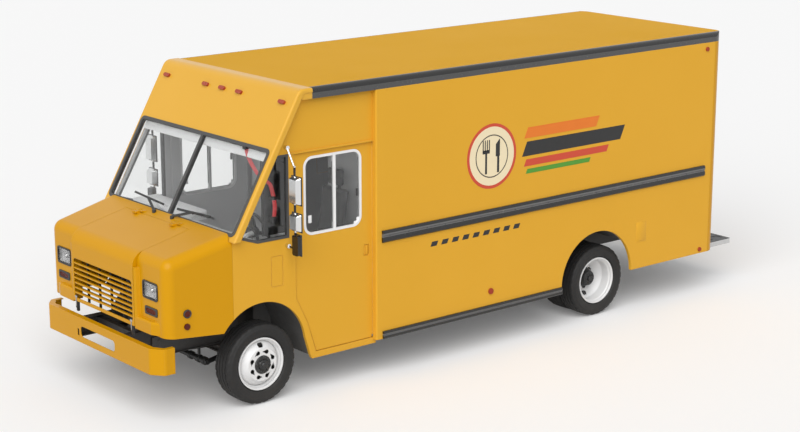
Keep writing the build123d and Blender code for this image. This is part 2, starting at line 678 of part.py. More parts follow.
def cab_side():
    """The left cab side: cowl, door header and sill around the door opening."""
    top = ROOF_TOP - ROOF_THICK
    under = ROOF_TOP - 45
    foot = CAP_FOOT
    outline = [
        (NOSE_REAR, 800),
        (NOSE_REAR, foot),
        (glass_x(foot) - CAP_DEPTH, foot),
        (glass_x(under) - CAP_DEPTH, under),
        (CAP_REAR, under),
        (CAP_REAR, top),
        (BULKHEAD_X, top),
        (BULKHEAD_X, CAB_LOW),
        (ARCH_FRONT[0] - 622, CAB_LOW),
        (ARCH_FRONT[0] - 410, 800),
    ]
    panel = side_prism(outline, CAB_INSIDE, CAB_HALF)
    deep = CAB_INSIDE - 100
    panel -= grown_arch(ARCH_FRONT, 0, deep, FAR)
    panel -= side_prism(door_outline(GAP), deep, FAR)
    panel -= block(BULKHEAD_X - 10, DOOR_REAR + 20, deep, FAR, DOOR_LOW - GAP, DOOR_HIGH + GAP)
    panel -= quarter_prism(0, deep, FAR)
    access = (-262, -115, 1208, 1526)
    groove = side_panel(access, 16, CAB_HALF - 4, FAR)
    panel -= groove - side_panel(inset_box(access, 6), 11, CAB_HALF - 5, FAR)
    panel += block(BOX_FRONT + 4, -360, CAB_HALF - 1, CAB_HALF + 20, DOOR_HIGH + 9, DOOR_HIGH + 24)
    return panel


def door_track():
    """The channel that carries a sliding door's hanger."""
    rear = DOOR_REAR - 926
    front = DOOR_FRONT + 26
    track = block(rear, front, CAB_INSIDE - 35, CAB_INSIDE, DOOR_HIGH + 12, DOOR_HIGH + 50)
    return track - block(rear - 10, front + 10, CAB_INSIDE - 25, CAB_INSIDE - 10, DOOR_HIGH, DOOR_HIGH + 44)


def cab_door():
    """The left sliding door with its hangers."""
    panel = side_prism(door_outline(0), DOOR_BACK, DOOR_FACE)
    panel -= side_panel(WINDOW_BOX, WINDOW_CORNER, DOOR_BACK - 100, FAR)
    hanger = CAB_INSIDE - 23
    for x in (DOOR_FRONT - 94, DOOR_REAR + 94):
        panel += block(x - 40, x + 40, hanger, DOOR_BACK + 1, WINDOW_BOX[3] + 4, DOOR_HIGH - 10)
        panel += block(x - 40, x + 40, hanger, hanger + 11, WINDOW_BOX[3] + 4, DOOR_HIGH + 44 - SEAT)
    panel -= side_panel((DOOR_REAR + 29, DOOR_REAR + 104, 1330, 1450), 12, DOOR_FACE - 14, DOOR_FACE + 5)
    return panel


def inset_box(box, inset):
    """A rectangle pulled in on every side."""
    return (box[0] + inset, box[1] - inset, box[2] + inset, box[3] - inset)


def window_opening(y0, y1):
    """The clear opening of a cab door's window frame."""
    return side_panel(inset_box(WINDOW_BOX, WINDOW_FRAME), WINDOW_CORNER - WINDOW_FRAME, y0, y1)


def window_bar(y0, y1):
    """The upright between a cab door's two panes."""
    ends = WINDOW_FRAME - 10
    return block(WINDOW_BAR_X - 17, WINDOW_BAR_X + 17, y0, y1, WINDOW_BOX[2] + ends, WINDOW_BOX[3] - ends)


def door_window():
    """The bright window frame of a cab door."""
    ring = side_panel(WINDOW_BOX, WINDOW_CORNER, DOOR_BACK, DOOR_FACE + WINDOW_PROUD)
    return ring - window_opening(DOOR_BACK - 100, FAR) + window_bar(DOOR_BACK + 6, DOOR_FACE + 2)


def door_glass():
    """Two panes in a cab door's window frame."""
    return window_opening(DOOR_BACK + 16, DOOR_BACK + 22) - window_bar(DOOR_BACK - 100, FAR)


def floor_pan():
    """Floor, cross sills, fire wall, engine cover and step wells."""
    low = FLOOR_TOP - FLOOR_THICK
    half = CAB_INSIDE - 10
    cover = 345
    plan = body_plan(WALL + SEAT, 0, ROOF_TOP)
    floor = block(BOX_REAR + WALL, ARCH_FRONT[0] - 570, -half, half, low, FLOOR_TOP) & plan
    for x in (-1000, -2000, -2600, -3200, -3800, -5500, -6100, BOX_REAR + 180):
        floor += block(x - 35, x + 35, -760, 760, RAIL_HIGH, low)
    wall = block(NOSE_REAR - 25, NOSE_REAR, -half, half, low, CAP_FOOT - 2)
    wall -= block(NOSE_REAR - 145, NOSE_REAR + 55, 15 - cover, cover - 15, low - 80, 1240)
    hood = block(-600, NOSE_REAR - 10, -cover, cover, low, 1290)
    hood -= block(-585, NOSE_REAR + 10, 15 - cover, cover - 15, low - 80, 1275)
    floor -= block(-585, -500, 15 - cover, cover - 15, low - 80, FLOOR_TOP + 60)
    floor += wall + hood
    well_front = DOOR_FRONT - 254
    well_rear = DOOR_REAR - 11
    well_low = DOOR_LOW - 35
    for side in (-1, 1):
        floor += block(ARCH_FRONT[0] - 572, NOSE_REAR - 20, side * cover, side * LINER_INSIDE, low, FLOOR_TOP)
        for arch in (ARCH_FRONT, ARCH_REAR):
            floor -= grown_arch(arch, 6 + SEAT, side * LINER_INSIDE, side * FAR)
        floor -= block(well_rear + 10, well_front - 10, side * 780, side * FAR, low - 80, FLOOR_TOP + 60)
        floor += block(well_rear, well_front, side * 770, side * 781, well_low, FLOOR_TOP)
        floor += block(well_rear, well_front, side * 770, side * CAB_INSIDE, well_low, DOOR_LOW - GAP)
        floor += block(well_rear, well_rear + 11, side * 770, side * (CAB_INSIDE - 20), well_low, FLOOR_TOP)
    return floor


def wheel_liner(arch, outer):
    """A wheel house: a round skin and an inner wall."""
    x, z, radius = arch
    under = -200
    inside = LINER_INSIDE + 6
    skin = grown_arch(arch, 6, LINER_INSIDE, outer) - grown_arch(arch, 0, inside, outer + 10)
    if arch is ARCH_FRONT:
        skin -= block(x - 310, x + 790, 0, FAR, under, z + 320)
        skin -= block(x - 810, x + 290, 0, FAR, under, CAB_LOW + 40)
        return skin - block(x - 810, x + 790, 0, inside - 0.1, under, FLOOR_TOP - FLOOR_THICK)
    return skin - block(x - 800, x + 800, 0, FAR, under, FLOOR_TOP - FLOOR_THICK)


def mirror_set():
    """Arm with two ball feet, two mirror heads and a lower head."""
    x = -310
    y = CAB_HALF + 150
    top = MIRROR_HIGH
    ball_high = (x, CAB_HALF + 30, top)
    ball_low = (x, CAB_HALF + 30, top - 1004)
    arm = rod((x, y, top - 1033), (x, y, top - 163), 12)
    arm += rod(ball_high, (x, y, top - 183), 10)
    arm += rod(ball_low, (x, y, top - 1013), 10)
    for ball in (ball_high, ball_low):
        arm += rod((ball[0], CAB_HALF, ball[2]), (ball[0], CAB_HALF + 44, ball[2]), 22)
    # head: inner and outer reach from the rod, drop of its middle, height, depth, taper in degrees
    heads = ((-60, 100, 412, 288, 58, 24), (-60, 100, 735, 190, 58, 24), (-14, 90, 965, 215, 46, 4))
    for inner, outer, drop, height, depth, taper in heads:
        plane = Plane((x - 12, 0, 0), x_dir=(0, 1, 0), z_dir=(1, 0, 0))
        back = RectangleRounded(outer - inner, height, 26)
        back = plane * Pos(y + (inner + outer) / 2, top - drop) * back
        arm += extrude(back, depth, taper=taper)
    return arm


def wipers():
    """Two parked wipers, each a pivot on the cowl, an arm and a blade."""
    pieces = []
    normal = Vector(NOSE_TOP_FALL, 0, 1).normalized()
    for side in (-1, 1):
        seat = Vector(405, side * 170, nose_top(405)) + normal * SEAT
        head = seat + normal * 22
        knee = (WIND_PLANE * Pos(side * 420, 112, 22)).position
        inner = (WIND_PLANE * Pos(side * 150, 98, 11)).position
        outer = (WIND_PLANE * Pos(side * 690, 126, 11)).position
        wiper = rod(tuple(seat), tuple(head), 14)
        wiper += rod(tuple(head), tuple(knee), 7)
        wiper += rod(tuple(inner), tuple(outer), 8)
        wiper += rod(tuple(Vector(*knee) - normal * 18), tuple(Vector(*knee) + normal * 8), 12)
        pieces.append(wiper)
    return pieces


def headlamp_housing():
    """A black lamp bowl set through the fender."""
    housing = front_panel(HEADLAMP_BOX, 28, NOSE_FRONT - 60, NOSE_FRONT + 10)
    y0, y1, z0, z1 = HEADLAMP_BOX
    return housing - front_panel((y0 + 14, y1 - 14, z0 + 14, z1 - 14), 16, NOSE_FRONT - 44, NOSE_FRONT + 20)


def headlamp_lens():
    """The clear lens in a lamp bowl."""
    y0, y1, z0, z1 = HEADLAMP_BOX
    return front_panel((y0 + 14, y1 - 14, z0 + 14, z1 - 14), 16, NOSE_FRONT - 6, NOSE_FRONT + 4)


def marker_lamps():
    """Roof, side, nose and tail lamps."""
    lamps = []
    height = (ROOF_TOP - 142 - GLASS_FOOT[1]) / (GLASS_HEAD[1] - GLASS_FOOT[1]) * WIND_HEIGHT
    edge = CAP_HALF - 181
    for y in (-edge, -305, 0, 305, edge):
        lamps.append(extrude(WIND_PLANE * Pos(y, height) * SlotOverall(104, 40), 24))
    for side in (-1, 1):
        signal = front_panel(SIGNAL_BOX, 12, NOSE_FRONT - 30, NOSE_FRONT + 8)
        lamps.append(signal if side > 0 else other_side(signal))
        rear = BOX_REAR + 308
        for x, z, radius in ((rear, ROOF_RAIL_LOW - 77, 26), (rear, TAIL_LOW + 51, 26), (-3024, 647, 34)):
            lamps.append(rod((x, side * BODY_HALF, z), (x, side * (BODY_HALF + 16), z), radius))
        for y in (690, 800, 910):
            lamps.append(rod((BOX_REAR, side * y, 780), (BOX_REAR - 14, side * y, 780), 46))
        across = Vector(NOSE_TAPER, side * (NOSE_FRONT - NOSE_REAR), 0).normalized()
        for x, z, radius in ((868, 1119, 32), (873, 989, 32)):
            foot = Vector(x, side * nose_side(x), z)
            lamps.append(rod(tuple(foot + across * SEAT), tuple(foot + across * 14), radius))
    return lamps


def dashboard():
    """Dash top and face under the windshield, with the steering column."""
    front = NOSE_REAR - 25
    outline = [(front, 1480), (front, 1700), (260, 1752), (-20, 1690), (-40, 1560), (60, 1480)]
    half = CAB_INSIDE - 40
    dash = side_prism(outline, -half, half)
    return dash + rod((40, DRIVER_Y, 1560), (-270, DRIVER_Y, 1640), 28)


def steering_wheel():
    """Rim, spokes and hub on the column's end."""
    plane = Plane(origin=(-270, DRIVER_Y, 1640), z_dir=(-310, 0, 80))
    rim = extrude(plane.offset(32) * (Circle(229) - Circle(201)), 28)
    rim = chamfer(rim.edges().filter_by(GeomType.CIRCLE), 8)
    hub = extrude(plane * Circle(50), 60)
    spoke = extrude(plane.offset(36) * Rectangle(34, 420), 16)
    return rim + hub + spoke + extrude(plane.offset(36) * Rectangle(420, 34), 16)


def driver_seat():
    """Pedestal, cushion, back and head rest."""
    y = DRIVER_Y
    seat = block(-1180, -860, y - 140, y + 140, FLOOR_TOP, 1240)
    seat += chamfer(block(-1230, -760, y - 230, y + 230, 1230, 1370).edges(), 25)
    back = [(-1190, 1340), (-1290, 2000), (-1380, 1990), (-1320, 1330)]
    seat += side_prism(back, y - 220, y + 220)
    return seat + chamfer(block(-1395, -1300, y - 120, y + 120, 1980, 2180).edges(), 22)


# Load space

def side_wall():
    """The left load-space wall with its front post."""
    outline = [
        (BOX_FRONT, SKIRT_LOW),
        (ARCH_REAR[0], SKIRT_LOW),
        (ARCH_REAR[0], TAIL_LOW),
        (BOX_REAR + REAR_CORNER, TAIL_LOW),
        (BOX_REAR + REAR_CORNER, ROOF_RAIL_LOW),
        (BOX_FRONT, ROOF_RAIL_LOW),
    ]
    wall = side_prism(outline, BODY_HALF - WALL, BODY_HALF)
    inner = DOOR_FACE + WINDOW_PROUD + GAP
    wall += block(BOX_FRONT - WALL, BOX_FRONT, inner, BODY_HALF, DOOR_LOW, DOOR_HIGH)
    wall += block(BOX_FRONT - WALL, BOX_FRONT, CAB_HALF, BODY_HALF, SKIRT_LOW, DOOR_LOW)
    wall += block(BOX_FRONT - WALL, BOX_FRONT, CAB_HALF, BODY_HALF, DOOR_HIGH, ROOF_RAIL_LOW)
    post = [e for e in wall.edges().filter_by(Axis.Z) if abs(e.center().X - BOX_FRONT) < 1]
    post = [e for e in post if abs(e.center().Y - BODY_HALF) < 1]
    wall = fillet(post, 16)
    return wall - grown_arch(ARCH_REAR, 0, CAB_INSIDE - 100, FAR)


HATCH_AXIS = (-BODY_HALF - 12, HATCH_HIGH + 2)
HATCH_HINGES = (-2700, -3550, -4400)


def right_wall():
    """The right wall with the serving opening and its hinge pins."""
    wall = other_side(side_wall())
    wall -= block(HATCH_REAR, HATCH_FRONT, -FAR, WALL + 100 - BODY_HALF, HATCH_LOW, HATCH_HIGH)
    y, z = HATCH_AXIS
    for x in HATCH_HINGES:
        for x0, x1 in ((x - 75, x - 40.5), (x + 40.5, x + 75)):
            wall += rod((x0, y, z), (x1, y, z), 11)
            wall += block(x0, x1, y, -BODY_HALF + 1, z, z + 11)
        wall += rod((x - 75, y, z), (x + 75, y, z), 5)
    return wall


def serving_hatch():
    """The hatch panel, hung from its top edge."""
    x0, x1, z0, z1 = inset_box((HATCH_REAR, HATCH_FRONT, HATCH_LOW, HATCH_HIGH), GAP)
    hatch = block(x0, x1, -BODY_HALF, -BODY_HALF + WALL, z0, z1)
    y, z = HATCH_AXIS
    for x in HATCH_HINGES:
        ear = rod((x - 39.5, y, z), (x + 39.5, y, z), 11)
        ear += block(x - 39.5, x + 39.5, y - 5, -BODY_HALF + 1, z - 30, z - 5)
        hatch += ear - rod((x - 60, y, z), (x + 60, y, z), 5 + PIN_FIT)
    return hatch


def body_plan(inset, low, high):
    """The body seen from above, with its rounded rear corners, as a solid."""
    half = BODY_HALF - inset
    form = block(BOX_REAR + inset, 0, -half, half, low, high)
    corners = [e for e in form.edges().filter_by(Axis.Z) if e.center().X < BOX_REAR + inset + 5]
    return fillet(corners, REAR_CORNER - inset)


REAR_HINGE_HEIGHTS = (FLOOR_TOP + 210, (FLOOR_TOP + REAR_DOOR_HIGH) / 2, REAR_DOOR_HIGH - 200)
REAR_AXIS = (BOX_REAR - 12, REAR_DOOR_HALF + 1)


def rear_frame():
    """Rounded corner posts, header and sill around the rear doors, with the hinge pins."""
    shell = body_plan(0, TAIL_LOW, ROOF_RAIL_LOW) - body_plan(WALL, TAIL_LOW - 10, ROOF_TOP)
    shell -= block(BOX_REAR + REAR_CORNER, 100, -FAR, FAR, 0, ROOF_TOP + 100)
    header = BODY_HALF - REAR_CORNER
    shell += block(BOX_REAR, BOX_REAR + WALL, -header, header, ROOF_RAIL_LOW - 5, ROOF_TOP - ROOF_THICK)
    out = BOX_REAR - 120
    within = BOX_REAR + 80
    shell -= block(out, within, -REAR_DOOR_HALF, REAR_DOOR_HALF, FLOOR_TOP, REAR_DOOR_HIGH)
    shell -= block(out, within, -REAR_DOOR_HALF - 29, REAR_DOOR_HALF + 29, 0, RAIL_LOW + 10)
    x, y = REAR_AXIS
    for side in (-1, 1):
        for z in REAR_HINGE_HEIGHTS:
            for z0, z1 in ((z - 70, z - 40.5), (z + 40.5, z + 70)):
                shell += rod((x, side * y, z0), (x, side * y, z1), 11)
                shell += block(x, BOX_REAR + 1, side * y, side * (y + 11), z0, z1)
            shell += rod((x, side * y, z - 70), (x, side * y, z + 70), 5)
    return shell


def rear_door():
    """The left rear door with a lock bar and hinge ears."""
    door = block(BOX_REAR, BOX_REAR + WALL, 3, REAR_DOOR_HALF - GAP, FLOOR_TOP + GAP, REAR_DOOR_HIGH - GAP)
    x, y = REAR_AXIS
    for z in REAR_HINGE_HEIGHTS:
        ear = rod((x, y, z - 39.5), (x, y, z + 39.5), 11)
        ear += block(x - 5, BOX_REAR + 1, y - 36, y - 5, z - 39.5, z + 39.5)
        door += ear - rod((x, y, z - 60), (x, y, z + 60), 5 + PIN_FIT)
    bar = 90
    door += rod((BOX_REAR - 14, bar, FLOOR_TOP + 30), (BOX_REAR - 14, bar, REAR_DOOR_HIGH - 30), 10)
    for z in (FLOOR_TOP + 110, 1450, 1900, REAR_DOOR_HIGH - 110):
        door += block(BOX_REAR - 22, BOX_REAR + 1, bar - 26, bar + 26, z - 18, z + 18)
    return door


def roof():
    """The roof skin, rounded at the rear corners."""
    plate = block(BOX_REAR, CAP_REAR, -CAB_HALF, CAB_HALF, ROOF_TOP - ROOF_THICK, ROOF_TOP)
    return plate & body_plan(0, ROOF_RAIL_LOW - 80, ROOF_TOP + 110)


def roof_rail():
    """The round-topped black rail along the left roof edge."""
    rail = block(BOX_REAR, CAP_REAR, CAB_HALF, BODY_HALF, ROOF_RAIL_LOW, ROOF_TOP)
    edge = [e for e in rail.edges().filter_by(Axis.X) if e.center().Y > BODY_HALF - 1]
    edge = [e for e in edge if e.center().Z > ROOF_TOP - 1]
    return fillet(edge, 58) & body_plan(0, ROOF_RAIL_LOW - 80, ROOF_TOP + 110)


def rub_rails():
    """The ribbed middle rail and the lower rail of the left side."""
    y = BODY_HALF
    z = RUB_LOW
    middle = [(y, z), (y + 16, z), (y + 26, z + 12), (y + 26, z + 48), (y + 16, z + 58), (y + 16, z + 69)]
    middle += [(y + 26, z + 79), (y + 26, z + 115), (y + 16, z + 127), (y, z + 127)]
    z = SKIRT_LOW + 1
    lower = [(y, z), (y + 18, z), (y + 28, z + 10), (y + 28, z + 32), (y + 20, z + 38), (y + 20, z + 46)]
    lower += [(y + 28, z + 52), (y + 28, z + 74), (y + 18, z + 84), (y, z + 84)]
    front = BOX_FRONT - 73
    return [cross_prism(middle, BOX_REAR + 286, front), cross_prism(lower, ARCH_REAR[0] + 582, front - 8)]


def bulkhead():
    """The wall behind the cab with its doorway."""
    half = CAB_INSIDE - 50
    wall = block(BULKHEAD_X - 25, BULKHEAD_X, -half, half, FLOOR_TOP, ROOF_TOP - ROOF_THICK)
    return wall - block(BULKHEAD_X - 150, BULKHEAD_X + 50, -350, 350, FLOOR_TOP, ROOF_TOP - 430)


def rear_step():
    """A full-width tread plate on two brackets under the frame rails."""
    half = BODY_HALF - 145
    front = BOX_REAR - 20
    low = 465
    high = 530
    step = block(STEP_REAR, front, -half, half, low, high)
    step -= block(STEP_REAR + 12, front - 12, 12 - half, half - 12, low - 1, high - 12)
    count = 12
    pitch = 2 * (half - 40) / count
    for index in range(count):
        y = 40 - half + (index + 0.5) * pitch
        for x in (STEP_REAR + 110, STEP_REAR + 290):
            step -= block(x - 60, x + 60, y - 0.3 * pitch, y + 0.3 * pitch, high - 4, high + 1)
    for side in (-1, 1):
        y0 = side * (RAIL_IN + 6)
        y1 = side * (RAIL_OUT - 6)
        step += block(front - 100, BOX_REAR + 220, y0, y1, high - 14, RAIL_LOW)
    return step


os.makedirs("parts", exist_ok=True)

front_tyre = tyre(0, FRONT_WHEEL_Y)
rear_tyres = [tyre(REAR_X, y) for y in (REAR_WHEEL_Y, REAR_WHEEL_Y - TWIN_SPACING)]
wheel_front = front_wheel()
wheel_rear = rear_wheels()
fork = knuckle()
save("tyre_front_left", front_tyre)
save("tyre_front_right", other_side(front_tyre))
save("tyres_rear_left", *rear_tyres)
save("tyres_rear_right", *[other_side(one) for one in rear_tyres])
save("wheel_front_left", wheel_front)
save("wheel_front_right", other_side(wheel_front))
save("wheels_rear_left", wheel_rear)
save("wheels_rear_right", other_side(wheel_rear))
save("knuckle_left", fork)
save("knuckle_right", other_side(fork))
save("front_axle", front_axle())
save("rear_axle", rear_axle())
springs = []
for side in (-1, 1):
    springs.append(leaf_spring(0, AXLE_Z + 40, 640, side))
    springs.append(leaf_spring(REAR_X, AXLE_Z + 70, 700, side))
save("leaf_springs", *springs)
save("chassis_frame", chassis_frame())
save("engine_block", engine_block())
save("fuel_tank", fuel_tank())
save("exhaust", exhaust())
save("front_bumper", front_bumper())
save("nose_panels", nose_panels())
save("hood_lid", hood_lid())
save("grille", grille())
housing = headlamp_housing()
lens = headlamp_lens()
save("headlamp_housings", housing, other_side(housing))
save("headlamp_lenses", lens, other_side(lens))
save("marker_lamps", *marker_lamps())
save("front_cap", front_cap())
quarter_seal = quarter_prism(0, CAB_INSIDE, CAB_HALF + 4) - quarter_prism(26, CAB_INSIDE - 100, FAR)
quarter_pane = quarter_prism(26, CAB_HALF - 20, CAB_HALF - 14)
save("window_seals", windshield_frame(), quarter_seal, other_side(quarter_seal))
save("cab_glass", windshield_glass(), quarter_pane, other_side(quarter_pane))
left_cab = cab_side()
save("cab_side_left", left_cab)
save("cab_side_right", other_side(left_cab))
track = door_track()
save("door_tracks", track, other_side(track))
sliding = cab_door()
frame = door_window()
panes = door_glass()
save("driver_door", sliding)
save("driver_door_frame", frame)
save("driver_door_glass", panes)
save("passenger_door", other_side(sliding))
save("passenger_door_frame", other_side(frame))
save("passenger_door_glass", other_side(panes))
save("floor_pan", floor_pan())
liners = [wheel_liner(ARCH_FRONT, CAB_INSIDE), wheel_liner(ARCH_REAR, BODY_HALF - WALL)]
save("wheel_liners", *liners, *[other_side(liner) for liner in liners])
mirrors = mirror_set()
save("mirrors", mirrors, other_side(mirrors))
save("wipers", *wipers())
save("dashboard", dashboard())
save("steering_wheel", steering_wheel())
save("driver_seat", driver_seat())
save("side_wall_left", side_wall())
save("side_wall_right", right_wall())
save("serving_hatch", serving_hatch())
save("rear_frame", rear_frame())
door = rear_door()
save("rear_door_left", door)
save("rear_door_right", other_side(door))
save("roof", roof())
rail = roof_rail()
save("roof_rails", rail, other_side(rail))
rubs = rub_rails()
save("rub_rails", *rubs, *[other_side(rub) for rub in rubs])
save("bulkhead", bulkhead())
save("rear_step", rear_step())
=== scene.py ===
import bpy
import bmesh
import json
import math
from mathutils import Matrix, Vector


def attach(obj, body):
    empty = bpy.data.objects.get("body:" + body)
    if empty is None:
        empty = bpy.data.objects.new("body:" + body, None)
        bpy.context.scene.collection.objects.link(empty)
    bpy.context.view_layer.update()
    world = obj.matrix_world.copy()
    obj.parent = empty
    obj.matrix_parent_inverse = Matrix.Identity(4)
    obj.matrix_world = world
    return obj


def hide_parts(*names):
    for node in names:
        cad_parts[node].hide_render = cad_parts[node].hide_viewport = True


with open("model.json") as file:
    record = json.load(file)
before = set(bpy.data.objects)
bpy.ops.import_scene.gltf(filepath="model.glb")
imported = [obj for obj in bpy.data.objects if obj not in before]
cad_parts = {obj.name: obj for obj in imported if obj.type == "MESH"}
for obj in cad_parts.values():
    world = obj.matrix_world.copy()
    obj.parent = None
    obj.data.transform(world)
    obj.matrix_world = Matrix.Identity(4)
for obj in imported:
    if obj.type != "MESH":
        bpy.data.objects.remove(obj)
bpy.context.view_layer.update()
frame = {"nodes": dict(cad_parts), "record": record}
nodes = frame["nodes"]

# Places in metres. Every x below is counted from the front axle, as on a chassis drawing.
AXLE_X = 2.9925
REAR_AXLE = -4.805
AXLE_Z = 0.42
FRONT_WHEEL_Y = 1.012
REAR_WHEEL_Y = 1.006
TWIN_SPACING = 0.29
BODY_HALF = 1.225
CAB_HALF = 1.16
BOX_REAR = -6.78
NOSE_FRONT = 1.095
GRILLE_FRONT = 1.146
LOAD_SPACE_FRONT = -1.452
GLASS_FOOT_X = 0.3495
GLASS_FOOT_Z = 1.8027
GLASS_SLOPE = -0.5734
SIDES = ((1, "left"), (-1, "right"))

# Heights where a finish changes
ARCH_TOP = 1.06
LAMP_LEDGE = 1.3
STEP_TOP = 0.5245
CAP_LINING_TOP = 3.1455
ROOF_LINING_TOP = 3.1505

# The photographer's place, and the turn and tilt of the view in degrees
CAMERA_PLACE = (12.99647, 15.45202, 6.29536)
CAMERA_TURN = 50.48834
CAMERA_TILT = -13.97727
CAMERA_LENS = 81.69
SUN_WAY = (-0.98, -0.90, -1.12)
SUN_WIDTH = 64


# Shader nodes

def feed(tree, node, **inputs):
    """Set sockets by name, with underscores for spaces, or by number as i0, i1 and so on."""
    for key, value in inputs.items():
        numbered = key[0] == "i" and key[1:].isdigit()
        socket = node.inputs[int(key[1:]) if numbered else key.replace("_", " ")]
        if isinstance(value, bpy.types.NodeSocket):
            tree.links.new(value, socket)
        else:
            socket.default_value = value


def put(tree, kind, settings=None, *values, **inputs):
    """One shader node with its settings, its first sockets in their order and others by name."""
    made = tree.nodes.new(kind)
    for key, value in (settings or {}).items():
        setattr(made, key, value)
    feed(tree, made, **{f"i{index}": value for index, value in enumerate(values)}, **inputs)
    return made


def operate(tree, operation, *values, clamp=False):
    """The result of one sum on sockets or plain numbers."""
    return put(tree, "ShaderNodeMath", {"operation": operation, "use_clamp": clamp}, *values).outputs[0]


def operate_vectors(tree, operation, *values):
    """The outputs of one sum on vectors."""
    return put(tree, "ShaderNodeVectorMath", {"operation": operation}, *values).outputs


def ranged(tree, value, **limits):
    """A value carried over from one range to another."""
    return put(tree, "ShaderNodeMapRange", Value=value, **limits).outputs[0]


def object_place(tree):
    """The Object coordinates, which stay with the piece."""
    return put(tree, "ShaderNodeTexCoord").outputs["Object"]


def tone(value):
    """A colour from one grey level, or from red, green and blue."""
    return ((value,) * 3 if isinstance(value, float) else tuple(value)) + (1,)


def blend(tree, amount, first, second):
    """A colour mix whose colours are sockets or plain values."""
    return put(tree, "ShaderNodeMix", {"data_type": "RGBA"}, i0=amount, i6=first, i7=second).outputs[2]


def new_material(name):
    """A material, its node tree and its shader."""
    made = bpy.data.materials.new(name)
    made.use_nodes = True
    return made, made.node_tree, made.node_tree.nodes["Principled BSDF"]


# Stage: camera, light and floor

def set_up_view():
    scene = bpy.context.scene
    scene.view_settings.view_transform = "Standard"
    lens = bpy.data.cameras.new("camera")
    lens.sensor_width = 36
    lens.lens = CAMERA_LENS
    lens.clip_end = 400
    camera = bpy.data.objects.new("camera", lens)
    camera.location = CAMERA_PLACE
    turn = math.radians(180 + CAMERA_TURN)
    tilt = math.radians(CAMERA_TILT)
    look = Vector((math.cos(tilt) * math.cos(turn), math.cos(tilt) * math.sin(turn), math.sin(tilt)))
    camera.rotation_euler = look.to_track_quat("-Z", "Y").to_euler()
    scene.collection.objects.link(camera)
    scene.camera = camera


def seen_rays(tree):
    """1 for what the camera sees, straight, mirrored or through glass, and 0 for light on its way."""
    path = put(tree, "ShaderNodeLightPath")
    seen = path.outputs["Is Camera Ray"]
    for other in ("Is Glossy Ray", "Is Transmission Ray"):
        seen = operate(tree, "MAXIMUM", seen, path.outputs[other])
    return seen


def set_up_light():
    """A white dome with a brighter backdrop, and a wide soft sun."""
    world = bpy.data.worlds.new("studio")
    bpy.context.scene.world = world
    world.use_nodes = True
    tree = world.node_tree
    tree.nodes.clear()
    dome = put(tree, "ShaderNodeBackground", Color=tone(1.0), Strength=0.42)
    backdrop = put(tree, "ShaderNodeBackground", Color=tone(1.0), Strength=0.95)
    mixed = put(tree, "ShaderNodeMixShader", None, seen_rays(tree), dome.outputs[0], backdrop.outputs[0])
    put(tree, "ShaderNodeOutputWorld", Surface=mixed.outputs[0])
    lamp = bpy.data.lights.new("key_light", "SUN")
    lamp.energy = 2.75
    lamp.angle = math.radians(SUN_WIDTH)
    holder = bpy.data.objects.new("key_light", lamp)
    holder.rotation_euler = Vector(SUN_WAY).to_track_quat("-Z", "Y").to_euler()
    bpy.context.scene.collection.objects.link(holder)


def lay_floor():
    """A matt floor that looks paler than it is for the light that it sends back."""
    mesh = bpy.data.meshes.new("floor")
    bm = bmesh.new()
    bmesh.ops.create_grid(bm, x_segments=2, y_segments=2, size=120)
    bm.to_mesh(mesh)
    bm.free()
    floor = bpy.data.objects.new("floor", mesh)
    floor.location.z = -0.001
    bpy.context.scene.collection.objects.link(floor)
    made, tree, shader = new_material("studio_floor")
    seen = seen_rays(tree)
    feed(tree, shader, Base_Color=blend(tree, seen, tone(0.72), tone(0.86)),
         Emission_Color=blend(tree, seen, tone(0.0), tone(0.088)), Emission_Strength=1.0,
         Roughness=0.9, Specular_IOR_Level=0.0)
    mesh.materials.append(made)


# Shared surface effects

FLOAT = "NodeSocketFloat"


def new_group(name, inputs, outputs):
    """An empty shader group, from its inputs' labels and values and its outputs' labels and kinds."""
    group = bpy.data.node_groups.new(name, "ShaderNodeTree")
    for label, value in inputs.items():
        group.interface.new_socket(label, in_out="INPUT", socket_type=FLOAT).default_value = value
    for label, kind in outputs.items():
        group.interface.new_socket(label, in_out="OUTPUT", socket_type=kind)
    return group, group.nodes.new("NodeGroupInput").outputs, group.nodes.new("NodeGroupOutput")


def grain_group():
    """Fine mottling of a finish: a value about 0.5, and a height for its bump."""
    group, given, out = new_group("finish_grain", {"Scale": 60.0, "Contrast": 0.3},
                                  {"Value": FLOAT, "Height": FLOAT})
    place = object_place(group)
    coarse = put(group, "ShaderNodeTexNoise", Vector=place, Scale=given["Scale"], Detail=4.0)
    closer = operate(group, "MULTIPLY", given["Scale"], 7.0)
    fine = put(group, "ShaderNodeTexNoise", Vector=place, Scale=closer, Detail=2.0)
    off = operate(group, "SUBTRACT", coarse.outputs[0], 0.5)
    feed(group, out, Value=operate(group, "MULTIPLY_ADD", off, given["Contrast"], 0.5), Height=fine.outputs[0])
    return group


def dust_group():
    """Road dust: a mask that grows towards the ground and breaks up in patches."""
    group, given, out = new_group("road_dust", {"Top": 1.0, "Amount": 0.4}, {"Mask": FLOAT})
    place = object_place(group)
    height = put(group, "ShaderNodeSeparateXYZ", Vector=place).outputs["Z"]
    fade = ranged(group, height, From_Min=given["Top"], From_Max=0.0)
    patches = put(group, "ShaderNodeTexNoise", Vector=place, Scale=5.0, Detail=5.0)
    mottled = operate(group, "MULTIPLY", fade, patches.outputs[0])
    feed(group, out, Mask=operate(group, "MULTIPLY", mottled, given["Amount"], clamp=True))
    return group


